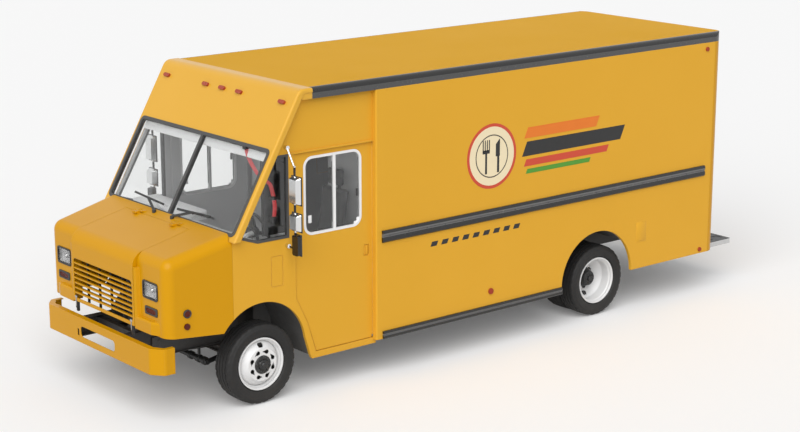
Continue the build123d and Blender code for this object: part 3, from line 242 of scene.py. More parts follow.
def edge_group():
    """Soft edges: a normal that rounds sharp corners, and a mask along them for edge wear and for painted
    highlights along the paints' edges.
    """
    group, given, out = new_group("soft_edges", {"Radius": 0.004},
                                  {"Normal": "NodeSocketVector", "Mask": FLOAT})
    rounded = put(group, "ShaderNodeBevel", {"samples": 4}, Radius=given["Radius"]).outputs[0]
    flat = put(group, "ShaderNodeNewGeometry").outputs["Normal"]
    meet = operate_vectors(group, "DOT_PRODUCT", rounded, flat)["Value"]
    feed(group, out, Normal=rounded, Mask=ranged(group, meet, From_Min=0.995, From_Max=0.8))
    return group


GRAIN = grain_group()
DUST = dust_group()
EDGES = edge_group()
DUST_TONE = tone((0.36, 0.31, 0.25))
BUMP_DEPTH = 0.002
CLEAR_IOR = 1.45


def placed(tree, group, **inputs):
    """A shared effect in a material; its outputs are given back."""
    return put(tree, "ShaderNodeGroup", {"node_tree": group}, **inputs).outputs


def finish(name, light, dark, rough, scale=30.0, contrast=0.5, bump=0.02, metal=0.0, coat=0.0, coat_rough=0.08,
           spec=0.5, dust=0.0, dust_top=1.0, edge_wear_and_highlight=None, edge_wear_and_highlight_amount=0.5, radius=0.003, rough_swing=0.1):
    """A worked surface: two tones mottled, dust near the ground, edges tinted as wear and on the paints as a
    painted highlight, fine bump, and its gloss.
    """
    made, tree, shader = new_material(name)
    grain = placed(tree, GRAIN, Scale=scale, Contrast=contrast)
    colour = blend(tree, grain["Value"], tone(dark), tone(light))
    edges = placed(tree, EDGES, Radius=radius)
    # Edge tint: worn edges on most finishes; on the paints a lighter yellow that is a painted highlight along
    # rounded edges.
    if edge_wear_and_highlight is not None:
        colour = blend(tree, operate(tree, "MULTIPLY", edges["Mask"], edge_wear_and_highlight_amount), colour, tone(edge_wear_and_highlight))
    roughness = ranged(tree, grain["Value"], To_Min=rough + rough_swing, To_Max=rough - rough_swing)
    if dust:
        film = placed(tree, DUST, Top=dust_top, Amount=dust)["Mask"]
        colour = blend(tree, film, colour, DUST_TONE)
        roughness = operate(tree, "MULTIPLY_ADD", film, 0.4, roughness, clamp=True)
    relief = put(tree, "ShaderNodeBump", Strength=bump, Distance=BUMP_DEPTH, Height=grain["Height"],
                 Normal=edges["Normal"])
    feed(tree, shader, Base_Color=colour, Roughness=roughness, Normal=relief.outputs[0], Metallic=metal,
         Coat_Weight=coat, Coat_Roughness=coat_rough, Specular_IOR_Level=spec)
    return made


def clear_pane(name, tint, rough, ripple):
    """Glass or a clear lens: a faint streak of dust in its roughness, and a slow ripple."""
    made, tree, shader = new_material(name)
    value = placed(tree, GRAIN, Scale=6.0, Contrast=0.8)["Value"]
    gloss = ranged(tree, value, To_Min=rough, To_Max=rough + 0.03)
    relief = put(tree, "ShaderNodeBump", Strength=ripple, Distance=BUMP_DEPTH, Height=value)
    feed(tree, shader, Base_Color=blend(tree, value, tone(tint), tone([0.97 * part for part in tint])),
         Roughness=gloss, Normal=relief.outputs[0], Transmission_Weight=1.0, IOR=CLEAR_IOR)
    return made


def fluted_lens(name, light, dark, pitch, metal=0.0):
    """A moulded lamp lens, or the bowl behind one, with fine upright flutes and cross bars."""
    made, tree, shader = new_material(name)
    place = object_place(tree)
    upright, level = (
        put(tree, "ShaderNodeTexWave", {"bands_direction": axis}, Vector=place, Scale=pitch, Distortion=0.0)
        for axis in ("Y", "Z")
    )
    flutes = operate(tree, "MULTIPLY", upright.outputs["Fac"], level.outputs["Fac"])
    relief = put(tree, "ShaderNodeBump", Strength=0.5, Distance=2 * BUMP_DEPTH, Height=flutes)
    feed(tree, shader, Base_Color=blend(tree, flutes, tone(dark), tone(light)), Normal=relief.outputs[0],
         Roughness=0.12, Specular_IOR_Level=0.2, IOR=CLEAR_IOR, Metallic=metal)
    return made


def sign_ink(name, light, dark, scale=8):
    """A matt printed colour."""
    return finish(name, light, dark, 0.45, scale=scale, bump=0.02, spec=0.2)


# The paints' lighter edge colours are partly wear and partly a painted highlight along rounded edges.
PAINT = finish("golden_body_paint", (0.735, 0.388, 0.036), (0.690, 0.358, 0.028), 0.34, scale=1.2, contrast=0.8,
               bump=0.012, dust=0.06, dust_top=0.6, edge_wear_and_highlight=(0.84, 0.52, 0.14), edge_wear_and_highlight_amount=0.3, radius=0.006,
               rough_swing=0.04, spec=0.12)
NOSE_PAINT = finish("golden_nose_paint", (0.625, 0.300, 0.0008), (0.585, 0.276, 0.0005), 0.3, scale=1.4,
                    contrast=0.8, bump=0.012, dust=0.03, dust_top=0.7, edge_wear_and_highlight=(0.80, 0.48, 0.08),
                    edge_wear_and_highlight_amount=0.35, radius=0.008, rough_swing=0.04, spec=0.10, coat=0.15, coat_rough=0.3)
CAP_PAINT = finish("golden_cap_paint", (0.720, 0.392, 0.042), (0.680, 0.366, 0.034), 0.32, scale=1.2,
                   contrast=0.8, bump=0.012, edge_wear_and_highlight=(0.84, 0.54, 0.16), edge_wear_and_highlight_amount=0.3, radius=0.008,
                   rough_swing=0.04, spec=0.12, coat=0.3, coat_rough=0.3)
ROOF_PAINT = finish("golden_roof_paint", (0.700, 0.372, 0.030), (0.655, 0.345, 0.022), 0.55, scale=0.9,
                    contrast=0.9, bump=0.02, radius=0.006, rough_swing=0.05, spec=0.02)
RAIL_BLACK = finish("black_rail_vinyl", 0.014, 0.009, 0.26, scale=40, bump=0.05, edge_wear_and_highlight=0.10)
SEAL_RUBBER = finish("window_seal_rubber", 0.066, 0.046, 0.55, scale=50, bump=0.08, edge_wear_and_highlight=0.12)
TYRE_RUBBER = finish("tyre_rubber", (0.018, 0.0175, 0.017), (0.011, 0.0105, 0.0105), 0.62, scale=35,
                     contrast=0.8, bump=0.12, dust=0.05, dust_top=0.5, radius=0.002, spec=0.35)
WHEEL_ENAMEL = finish("white_wheel_enamel", 0.80, 0.72, 0.4, scale=9, contrast=0.9, bump=0.05, dust=0.10,
                      dust_top=1.2, edge_wear_and_highlight=0.6, edge_wear_and_highlight_amount=0.2)
HUB_BLACK = finish("hub_black", 0.018, 0.010, 0.35, scale=60, bump=0.1, edge_wear_and_highlight=0.16)
CHASSIS_BLACK = finish("chassis_black", 0.022, 0.012, 0.5, scale=12, contrast=1.0, bump=0.1, dust=0.3,
                       edge_wear_and_highlight=0.12)
CAST_IRON = finish("cast_iron", (0.075, 0.07, 0.066), (0.03, 0.029, 0.028), 0.6, scale=45, contrast=1.0,
                   bump=0.3, dust=0.3, metal=0.3)
STEEL = finish("bare_steel", 0.52, 0.38, 0.38, scale=20, contrast=1.0, bump=0.06, metal=0.9, dust=0.15)
TREAD_PLATE = finish("step_plate", 0.62, 0.50, 0.42, contrast=1.0, bump=0.1, metal=0.4, dust=0.1, edge_wear_and_highlight=0.8)
BRIGHT_ALU = finish("bright_aluminium", 0.88, 0.80, 0.32, scale=14, contrast=0.8, bump=0.03, metal=0.35,
                    edge_wear_and_highlight=0.95)
CHROME = finish("chrome_plate", 0.80, 0.70, 0.1, scale=10, contrast=0.8, bump=0.01, metal=1.0, rough_swing=0.03)
TRIM = finish("dark_grey_trim", 0.030, 0.018, 0.5, scale=70, contrast=0.8, bump=0.2, edge_wear_and_highlight=0.09)
LINER_BLACK = finish("wheel_liner_black", 0.075, 0.052, 0.7, scale=25, contrast=0.9, bump=0.15, dust=0.2)
CAB_FLOOR = finish("cab_floor_rubber", 0.24, 0.18, 0.7, scale=45, contrast=0.9, bump=0.2)
DASH_TOP = finish("dash_grey", 0.62, 0.54, 0.6, scale=90, contrast=0.6, bump=0.2, edge_wear_and_highlight=0.4)
SHELF_GREY = finish("shelf_grey", 0.90, 0.84, 0.55, scale=60, contrast=0.6, bump=0.1, edge_wear_and_highlight=0.92)
PALE_LINING = finish("pale_header", 0.86, 0.80, 0.6, scale=40, contrast=0.6, bump=0.05)
LINING = finish("lining_sheet", 0.66, 0.58, 0.5, scale=10, contrast=0.7, bump=0.04)
FABRIC = finish("seat_cloth", 0.09, 0.05, 0.9, scale=160, contrast=1.0, bump=0.5, rough_swing=0.05)
WEBBING = finish("red_webbing", (0.72, 0.055, 0.06), (0.56, 0.04, 0.045), 0.8, scale=220, contrast=1.0,
                 bump=0.4)
MIRROR_GLASS = finish("mirror_glass", 0.86, 0.82, 0.03, scale=4, bump=0.0, metal=1.0, rough_swing=0.01)
INK_BLACK = sign_ink("sign_black", 0.040, 0.030, 20)
INK_CREAM = sign_ink("sign_cream", (0.86, 0.74, 0.50), (0.80, 0.68, 0.45))
INK_ORANGE = sign_ink("sign_orange", (0.78, 0.21, 0.03), (0.72, 0.18, 0.025))
INK_RED = sign_ink("sign_red", (0.62, 0.085, 0.045), (0.55, 0.07, 0.04))
INK_GREEN = sign_ink("sign_green", (0.10, 0.33, 0.045), (0.08, 0.27, 0.035))
GLASS = clear_pane("window_glass", (0.965, 0.972, 0.970), 0.0, 0.01)
CLEAR_LENS = clear_pane("lamp_lens_clear", (0.96, 0.96, 0.96), 0.0, 0.06)
RED_LENS = fluted_lens("red_lamp_lens", (0.56, 0.100, 0.035), (0.34, 0.045, 0.020), 60.0)
REFLECTOR = fluted_lens("lamp_reflector", 0.9, 0.45, 22.0, 1.0)


# Finishes in two tones, the second chosen by place; the grille's dark tone is painted shade, and the rails'
# grey tones are painted highlights

def axis_test(tree, axis, limit, kind="LESS_THAN", size=False):
    """1 where an Object coordinate, or its size without sign, is under or over a limit."""
    value = put(tree, "ShaderNodeSeparateXYZ", Vector=object_place(tree)).outputs[axis]
    if size:
        value = operate(tree, "ABSOLUTE", value)
    return operate(tree, kind, value, limit)


def both(tree, first, second):
    return operate(tree, "MULTIPLY", first, second)


def either(tree, first, second):
    return operate(tree, "MAXIMUM", first, second)


def band(tree, low, high):
    """1 between two heights."""
    return both(tree, axis_test(tree, "Z", low, "GREATER_THAN"), axis_test(tree, "Z", high))


def second_tone(base, name, mask_of, other, metal=None):
    """A copy of a finish that takes another colour where mask_of(tree) is 1."""
    made = base.copy()
    made.name = name
    tree = made.node_tree
    shader = tree.nodes["Principled BSDF"]
    mask = mask_of(tree)
    painted = shader.inputs["Base Color"].links[0].from_socket
    feed(tree, shader, Base_Color=blend(tree, mask, painted, tone(other)))
    if metal is not None:
        plain = shader.inputs["Metallic"].default_value
        feed(tree, shader, Metallic=ranged(tree, mask, To_Min=plain, To_Max=metal))
    return made


def from_axle(tree, axle_x, limit):
    """1 within a radius of an axle's line."""
    apart = operate_vectors(tree, "SUBTRACT", object_place(tree), (axle_x, 0, AXLE_Z))[0]
    flat = operate_vectors(tree, "MULTIPLY", apart, (1, 0, 1))[0]
    return operate(tree, "LESS_THAN", operate_vectors(tree, "LENGTH", flat)["Value"], limit)


def hub_and_drum(axle_x, hub, drum, depth):
    """The dark hub, and the brake drum behind the disc."""
    def mask_of(tree):
        inside = both(tree, from_axle(tree, axle_x, drum), axis_test(tree, "Y", depth, size=True))
        return either(tree, from_axle(tree, axle_x, hub), inside)
    return mask_of


def cap_inside(tree):
    """The inner face of the windshield surround, by its distance behind the glass."""
    along = operate_vectors(tree, "DOT_PRODUCT", object_place(tree), (1, 0, -GLASS_SLOPE))["Value"]
    level = AXLE_X + GLASS_FOOT_X - GLASS_SLOPE * GLASS_FOOT_Z - 0.038
    inside = axis_test(tree, "Y", CAB_HALF - 0.002, size=True)
    indoors = both(tree, axis_test(tree, "Z", CAP_LINING_TOP), inside)
    return both(tree, operate(tree, "LESS_THAN", along, level), indoors)


def mirror_black(tree):
    """Rod and lower head of a mirror, between its chromed heads and feet."""
    outside = axis_test(tree, "Y", CAB_HALF + 0.055, "GREATER_THAN", size=True)
    mask = both(tree, axis_test(tree, "Z", 1.777), outside)
    for low, high in ((1.980, 2.060), (2.352, 2.440)):
        mask = either(tree, mask, band(tree, low, high))
    return mask


def inner_face(axis, limit, size=True):
    """The side of a panel that faces in."""
    return lambda tree: axis_test(tree, axis, limit, size=size)


def cab_inside(tree):
    """The lining of the cab, above the wheel arches."""
    inside = axis_test(tree, "Y", CAB_HALF - 0.012, size=True)
    return both(tree, inside, axis_test(tree, "Z", ARCH_TOP, "GREATER_THAN"))


def wall_inside(tree):
    """The lining of the load space, behind its front post, and the post's edge inside the cab."""
    inside = axis_test(tree, "Y", BODY_HALF - 0.0385, size=True)
    lining = both(tree, inside, axis_test(tree, "X", AXLE_X + LOAD_SPACE_FRONT))
    return either(tree, lining, axis_test(tree, "Y", CAB_HALF - 0.0002, size=True))


def nose_lamps(tree):
    """The turn signals and side lamps of the nose, by their place."""
    return both(tree, axis_test(tree, "X", AXLE_X + 0.8, "GREATER_THAN"), axis_test(tree, "Z", LAMP_LEDGE))


def painted_rail_highlights(tree):
    """Painted highlights: lighter stripes along the middle of the rub rail and the sill rail."""
    return either(tree, band(tree, 1.513, 1.554), band(tree, 0.440, 0.466))


# Everything of the grille deeper than its front bars is painted near-black as shade in the grille's recess.
GRILLE = second_tone(NOSE_PAINT, "grille_painted_shade", inner_face("X", AXLE_X + GRILLE_FRONT - 0.0295, False),
                     0.02)
CAB_SIDE = second_tone(PAINT, "cab_side_lined", cab_inside, 0.50)
CAB_DOOR = second_tone(PAINT, "cab_door_lined", inner_face("Y", CAB_HALF - 0.030), 0.50)
WALL_LINED = second_tone(PAINT, "wall_lined", wall_inside, 0.70)
ROOF_LINED = second_tone(ROOF_PAINT, "roof_lined", inner_face("Z", ROOF_LINING_TOP, False), 0.75)
CAP_LINED = second_tone(CAP_PAINT, "cap_lined", cap_inside, 0.55)
LAMPS = second_tone(RED_LENS, "lamps_two_tone", nose_lamps, (0.10, 0.014, 0.008))
# The roof rail's lower band is painted grey as light on its lit side; its top stays black.
ROOF_RAIL = second_tone(RAIL_BLACK, "roof_rail_painted_light", lambda tree: band(tree, 3.0, 3.138), 0.062)
# The grey stripes on the black rub and sill rails are painted highlights.
RUB_RAIL = second_tone(RAIL_BLACK, "rub_rail_painted_highlight", painted_rail_highlights, 0.125)
MIRRORS = second_tone(CHROME, "mirror_two_tone", mirror_black, 0.012, 0.0)
STEP = second_tone(TREAD_PLATE, "step_two_tone", lambda tree: axis_test(tree, "Z", STEP_TOP, "GREATER_THAN"),
                   0.018, 0.0)
FRONT_WHEEL = second_tone(WHEEL_ENAMEL, "front_wheel_two_tone",
                          hub_and_drum(AXLE_X, 0.0958, 0.195, 1.04), 0.014)
REAR_WHEEL = second_tone(WHEEL_ENAMEL, "rear_wheel_two_tone",
                         hub_and_drum(AXLE_X + REAR_AXLE, 0.1125, 0.205, 0.846), 0.014)

# Finish of each carried-over node, by the record's material slot, then by name where one differs
BY_SLOT = {
    "paint": PAINT, "black_rail": RAIL_BLACK, "rubber": SEAL_RUBBER, "tyre": TYRE_RUBBER, "wheel": WHEEL_ENAMEL,
    "glass": GLASS, "lamp": RED_LENS, "chassis": CHASSIS_BLACK, "cast": CAST_IRON, "steel": STEEL,
    "alu": BRIGHT_ALU, "chrome": CHROME, "trim": TRIM, "fabric": FABRIC, "clear": CLEAR_LENS, "panel": LINING,
}
BY_NAME = {
    "grille": GRILLE, "wheel_liners": LINER_BLACK, "floor_pan": CAB_FLOOR, "dashboard": DASH_TOP,
    "rear_step": STEP, "nose_panels": NOSE_PAINT, "hood_lid": NOSE_PAINT, "front_bumper": NOSE_PAINT,
    "driver_door": CAB_DOOR, "passenger_door": CAB_DOOR, "serving_hatch": WALL_LINED, "roof": ROOF_LINED,
    "front_cap": CAP_LINED, "marker_lamps": LAMPS, "roof_rails": ROOF_RAIL, "rub_rails": RUB_RAIL,
    "rear_frame": NOSE_PAINT, "mirrors": MIRRORS,
}
PAIRED = {"cab_side": CAB_SIDE, "side_wall": WALL_LINED, "wheel_front": FRONT_WHEEL, "wheels_rear": REAR_WHEEL}
BY_NAME.update({f"{pair}_{name}": chosen for pair, chosen in PAIRED.items() for _, name in SIDES})


def finish_nodes():
    for entry in frame["record"]["subparts"]:
        slots = nodes[entry["node"]].data.materials
        chosen = BY_NAME.get(entry["node"], BY_SLOT[entry["material_slot"]])
        if not slots:
            slots.append(chosen)
        for index in range(len(slots)):
            slots[index] = chosen


# Piece making

def piece(name, bm, finish_of, body="body", smooth=30, at=None):
    """A finished bmesh as a piece that rides on a body. at moves it from the front axle's frame."""
    shift = Vector((AXLE_X, 0, 0)) + Vector(at or (0, 0, 0))
    bmesh.ops.translate(bm, verts=bm.verts, vec=shift)
    mesh = bpy.data.meshes.new(name)
    bm.to_mesh(mesh)
    bm.free()
    mesh.shade_smooth()
    mesh.set_sharp_from_angle(angle=math.radians(smooth))
    made = bpy.data.objects.new(name, mesh)
    bpy.context.scene.collection.objects.link(made)
    mesh.materials.append(finish_of)
    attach(made, body)
    return made


def turned(profile, steps, side=1):
    """A bmesh turned about the Y axis from (radius, across) points; side -1 is the mirror image."""
    bm = bmesh.new()
    points = [bm.verts.new((0, across_by * side, radius)) for radius, across_by in profile]
    for first, second in zip(points, points[1:]):
        bm.edges.new((first, second))
    bmesh.ops.spin(bm, geom=bm.verts[:] + bm.edges[:], cent=(0, 0, 0), axis=(0, 1, 0), angle=math.tau,
                   steps=steps, use_merge=True)
    bmesh.ops.remove_doubles(bm, verts=bm.verts, dist=0.00005)
    bmesh.ops.recalc_face_normals(bm, faces=bm.faces)
    return bm


def round_edges(bm, edges, offset, segments):
    bmesh.ops.bevel(bm, geom=edges, offset=offset, offset_type="OFFSET", affect="EDGES", segments=segments,
                    profile=0.5, material=-1)


def boxed(bm, low, high, round_by=0.0, segments=2):
    """A rounded block between two corners, added to bm."""
    new = bmesh.ops.create_cube(bm, size=1.0)["verts"]
    bmesh.ops.scale(bm, vec=Vector(high) - Vector(low), verts=new)
    bmesh.ops.translate(bm, vec=(Vector(high) + Vector(low)) / 2, verts=new)
    if round_by:
        round_edges(bm, list({edge for vert in new for edge in vert.link_edges}), round_by, segments)
    return bm


def sided(bm, side, x, y, z, round_by, segments=2):
    """A rounded block from its ranges along x, y and z, on the left or mirrored to the right."""
    near, far = sorted((side * y[0], side * y[1]))
    return boxed(bm, (x[0], near, z[0]), (x[1], far, z[1]), round_by, segments)


def merge(whole, part, place=None):
    """Copy one bmesh into another, moved by a matrix, and free it."""
    if place is not None:
        bmesh.ops.transform(part, matrix=place, verts=part.verts)
    scratch = bpy.data.meshes.new("scratch")
    part.to_mesh(scratch)
    part.free()
    whole.from_mesh(scratch)
    bpy.data.meshes.remove(scratch)
    return whole


def moved(x, y, z):
    return Matrix.Translation((x, y, z))


def rotated(degrees, axis, size=4):
    return Matrix.Rotation(math.radians(degrees), size, axis)


def across(side):
    """Turns +Z to +Y on the left, side 1, or to -Y on the right, side -1."""
    return rotated(-90 * side, "X")


# Turns +Y to -X
FACING_BACK = rotated(90, "Z")


def drum_form(radius, depth, segments, round_by=0.0):
    """A round boss standing on the origin along +Z, its crown rounded."""
    bm = bmesh.new()
    bmesh.ops.create_cone(bm, cap_ends=True, segments=segments, radius1=radius, radius2=radius, depth=depth)
    bmesh.ops.translate(bm, verts=bm.verts, vec=(0, 0, depth / 2))
    if round_by:
        crown = [edge for edge in bm.edges if all(vert.co.z > depth * 0.9 for vert in edge.verts)]
        round_edges(bm, crown, round_by, 2)
    return bm


def nut(size, depth):
    """A hexagon nut with a chamfered crown on a washer, standing on the origin along +Z."""
    bm = drum_form(0.68 * size, 0.18 * depth, 20, 0.05 * size)
    merge(bm, drum_form(0.5 * size, depth, 6, 0.07 * size))
    return merge(bm, drum_form(0.24 * size, 1.35 * depth, 12, 0.04 * size))


def ring_form(inner, outer, depth, steps=40):
    """A rounded ring standing on the origin along +Y."""
    lip = min(0.3 * (outer - inner), 0.4 * depth)
    return turned([(inner, 0.0), (inner, depth - lip), (inner + lip, depth), (outer - lip, depth),
                   (outer, depth - lip), (outer, 0.0), (inner, 0.0)], steps)


def circled(whole, size, depth, count, radius, start, side, at):
    """Nuts set round an axle, facing out of a wheel on one side."""
    for index in range(count):
        angle = math.tau * index / count + start
        spot = Vector(at) + Vector((radius * math.cos(angle), 0, radius * math.sin(angle)))
        merge(whole, nut(size, depth), Matrix.Translation(spot) @ across(side))
    return whole


# Tyres and wheel fittings. Profiles are (radius, distance out from the wheel's plane).
TYRE_SIDE = ((0.2503, 0.0), (0.2503, 0.092), (0.266, 0.0965), (0.280, 0.0960), (0.286, 0.107), (0.296, 0.1190),
             (0.300, 0.1215), (0.306, 0.1222), (0.318, 0.1270), (0.342, 0.1315), (0.360, 0.1308),
             (0.364, 0.1319), (0.372, 0.1305), (0.376, 0.1270), (0.392, 0.1215), (0.404, 0.1165),
             (0.411, 0.1105), (0.4155, 0.1025))
TYRE_TREAD = ((0.4185, 0.078), (0.4105, 0.076), (0.4105, 0.067), (0.419, 0.065), (0.4198, 0.031),
              (0.411, 0.029), (0.411, 0.020), (0.4198, 0.018), (0.42, 0.0))
TYRE_STEPS = 120
NOTCH_EVERY = 4
NOTCH_DEPTH = 0.007
SHOULDER_RADIUS = 0.39
SHOULDER_OUT = 0.064
FRONT_CAP = ((0.0, 0.178), (0.026, 0.177), (0.033, 0.171), (0.035, 0.160), (0.050, 0.157), (0.056, 0.150),
             (0.058, 0.1425), (0.090, 0.1425), (0.0965, 0.138), (0.0965, 0.1322), (0.0, 0.1322))
REAR_CAP = ((0.0, 0.020), (0.030, 0.018), (0.036, 0.010), (0.038, -0.004), (0.074, -0.008), (0.084, -0.014),
            (0.090, -0.030), (0.1135, -0.078), (0.1135, -0.1325), (0.118, -0.1328), (0.0, -0.1328))
GROMMET = ((0.0195, 0.0), (0.0195, 0.009), (0.0215, 0.0125), (0.0245, 0.0132), (0.0262, 0.0120), (0.0262, 0.0),
           (0.0195, 0.0))
# Black plate behind the hand holes: partly the dark drum, partly painted shade seen through the holes.
HAND_HOLE_SHADE_PLATE = ((0.088, 0.070), (0.088, 0.072), (0.212, 0.072), (0.212, 0.070), (0.088, 0.070))
FRONT_HOLES = 8
HOLE_CIRCLE = 0.136


def treaded_tyre():
    """A tyre with ribs and grooves, its shoulders notched between the tread blocks."""
    half = TYRE_SIDE + TYRE_TREAD
    bm = turned(half + tuple((radius, -out) for radius, out in reversed(half[:-1])), TYRE_STEPS)
    for vert in bm.verts:
        radius = math.hypot(vert.co.x, vert.co.z)
        turn = round(math.atan2(vert.co.x, vert.co.z) / math.tau * TYRE_STEPS) % NOTCH_EVERY
        if turn == 0 and radius > SHOULDER_RADIUS and abs(vert.co.y) > SHOULDER_OUT:
            vert.co.x *= (radius - NOTCH_DEPTH) / radius
            vert.co.z *= (radius - NOTCH_DEPTH) / radius
    return bm


def fit_tyres():
    # tyre: node, body, x, wheel planes
    sets = (
        ("tyre_front_left", "front_wheel_left", 0.0, (FRONT_WHEEL_Y,)),
        ("tyre_front_right", "front_wheel_right", 0.0, (-FRONT_WHEEL_Y,)),
        ("tyres_rear_left", "rear_wheels_left", REAR_AXLE, (REAR_WHEEL_Y, REAR_WHEEL_Y - TWIN_SPACING)),
        ("tyres_rear_right", "rear_wheels_right", REAR_AXLE, (-REAR_WHEEL_Y, -REAR_WHEEL_Y + TWIN_SPACING)),
    )
    for node, body, x, planes in sets:
        whole = bmesh.new()
        for y in planes:
            merge(whole, treaded_tyre(), moved(x, y, AXLE_Z))
        made = piece(node + "_treaded", whole, TYRE_RUBBER, body, smooth=40)
        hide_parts(node)


def fit_hubs():
    """Hub caps with their nuts and grommets, a black plate behind the front discs' hand holes that stands in
    for the dark drum and the shade seen through them, and the rear wheels' nuts.
    """
    for side, name in SIDES:
        plane = moved(0, side * FRONT_WHEEL_Y, AXLE_Z)
        cap = merge(bmesh.new(), turned(FRONT_CAP, 48, side), plane)
        circled(cap, 0.024, 0.016, 8, 0.077, 0.2, side, (0, side * (FRONT_WHEEL_Y + 0.142), AXLE_Z))
        for index in range(FRONT_HOLES):
            angle = math.tau * (index + 0.5) / FRONT_HOLES
            merge(cap, turned(GROMMET, 20, side),
                  moved(HOLE_CIRCLE * math.cos(angle), side * (FRONT_WHEEL_Y + 0.119),
                        AXLE_Z + HOLE_CIRCLE * math.sin(angle)))
        # the black plate behind the hand holes paints the shade and the dark drum seen through them
        merge(cap, turned(HAND_HOLE_SHADE_PLATE, 48, side), plane)
        piece(f"hub_cap_front_{name}", cap, HUB_BLACK, f"front_wheel_{name}")
        cap = merge(bmesh.new(), turned(REAR_CAP, 48, side), moved(REAR_AXLE, side * REAR_WHEEL_Y, AXLE_Z))
        circled(cap, 0.022, 0.014, 8, 0.057, 0.2, side, (REAR_AXLE, side * (REAR_WHEEL_Y - 0.010), AXLE_Z))
        circled(cap, 0.032, 0.022, 10, 0.134, 0.1, side, (REAR_AXLE, side * (REAR_WHEEL_Y - 0.1335), AXLE_Z))
        piece(f"hub_cap_rear_{name}", cap, HUB_BLACK, f"rear_wheels_{name}")


# Lamps
BOWL_HALF_WIDE = 0.118
BOWL_HALF_HIGH = 0.074
BOWL_DEPTH = 0.016
SIDE_LAMP_X = 0.868
FACING_FORWARD = rotated(90, "Y", 3)


def fit_lamp_bowls():
    """Fluted reflectors with a domed bulb cover behind the headlamp lenses."""
    for side, name in SIDES:
        bm = bmesh.new()
        bmesh.ops.create_grid(bm, x_segments=18, y_segments=12, size=0.5)
        bmesh.ops.rotate(bm, verts=bm.verts, cent=(0, 0, 0), matrix=FACING_FORWARD)
        bmesh.ops.scale(bm, vec=(1, 2 * BOWL_HALF_WIDE, 2 * BOWL_HALF_HIGH), verts=bm.verts)
        for vert in bm.verts:
            reach = (vert.co.y / BOWL_HALF_WIDE) ** 2 + (vert.co.z / BOWL_HALF_HIGH) ** 2
            vert.co.x = BOWL_DEPTH * min(reach, 1.6)
        bmesh.ops.recalc_face_normals(bm, faces=bm.faces)
        bmesh.ops.solidify(bm, geom=bm.faces[:], thickness=0.0015)
        bulb = bmesh.ops.create_uvsphere(bm, u_segments=16, v_segments=8, radius=0.024)["verts"]
        bmesh.ops.translate(bm, verts=bulb, vec=(0.010, 0, 0))
        piece(f"headlamp_bowl_{name}", bm, REFLECTOR, at=(1.055, side * 0.837, 1.33))


def rounded_loop(bm, middle, x, half_wide, half_high, radius):
    """A rounded oblong of edges that faces along X, about a middle given as y and z."""
    ring = bmesh.ops.create_circle(bm, segments=32, radius=radius)["verts"]
    bmesh.ops.rotate(bm, verts=ring, cent=(0, 0, 0), matrix=FACING_FORWARD)
    for vert in ring:
        for axis, reach in ((1, half_wide - radius), (2, half_high - radius)):
            if abs(vert.co[axis]) > 0.00001:
                vert.co[axis] += math.copysign(reach, vert.co[axis])
    bmesh.ops.translate(bm, verts=ring, vec=(x,) + middle)


def signal_bezel(middle):
    """A black oblong bezel with an oval opening for a turn signal."""
    # ring: x from the nose's front, half width, half height, corner radius
    rings = ((-0.004, 0.1115, 0.042, 0.018), (0.008, 0.1115, 0.042, 0.018), (0.0105, 0.109, 0.0395, 0.0155),
             (0.0105, 0.089, 0.0255, 0.0255), (-0.004, 0.089, 0.0255, 0.0255))
    whole = bmesh.new()
    for edges in zip(rings, rings[1:] + rings[:1]):
        strip = bmesh.new()
        for x, *sizes in edges:
            rounded_loop(strip, middle, NOSE_FRONT + x, *sizes)
        bmesh.ops.bridge_loops(strip, edges=strip.edges[:])
        merge(whole, strip)
    bmesh.ops.remove_doubles(whole, verts=whole.verts, dist=0.00001)
    bmesh.ops.recalc_face_normals(whole, faces=whole.faces)
    return whole


def fit_lamp_rims():
    """Black bezels of the turn signals, the round side lamps and the tail lamps."""
    rims = bmesh.new()
    # the nose narrows by 0.05 over 0.75, from x 0.345
    flank = CAB_HALF - 0.05 * (SIDE_LAMP_X - 0.345) / 0.75
    for side, _ in SIDES:
        merge(rims, signal_bezel((side * 0.8475, 1.123)))
        lean = rotated(-3.81 * side, "Z") @ rotated(0 if side > 0 else 180, "Z")
        merge(rims, ring_form(0.031, 0.043, 0.017), moved(SIDE_LAMP_X, side * (flank + 0.001), 1.119) @ lean)
        for y in (0.690, 0.800, 0.910):
            merge(rims, ring_form(0.045, 0.056, 0.012), moved(BOX_REAR - 0.0005, side * y, 0.78) @ FACING_BACK)
    piece("lamp_rims", rims, TRIM)


# Under the nose
BAR_X = 0.270
BAR_Z = 0.352
SHIELD_RUN = (-0.180, 0.860)


def tube(start, end, radius, steps=20):
    """A round bar between two points, its end slightly rounded."""
    run = Vector(end) - Vector(start)
    bm = drum_form(radius, run.length, steps, 0.2 * radius)
    place = Matrix.Translation(start) @ run.to_track_quat("Z", "Y").to_matrix().to_4x4()
    bmesh.ops.transform(bm, matrix=place, verts=bm.verts)
    return bm


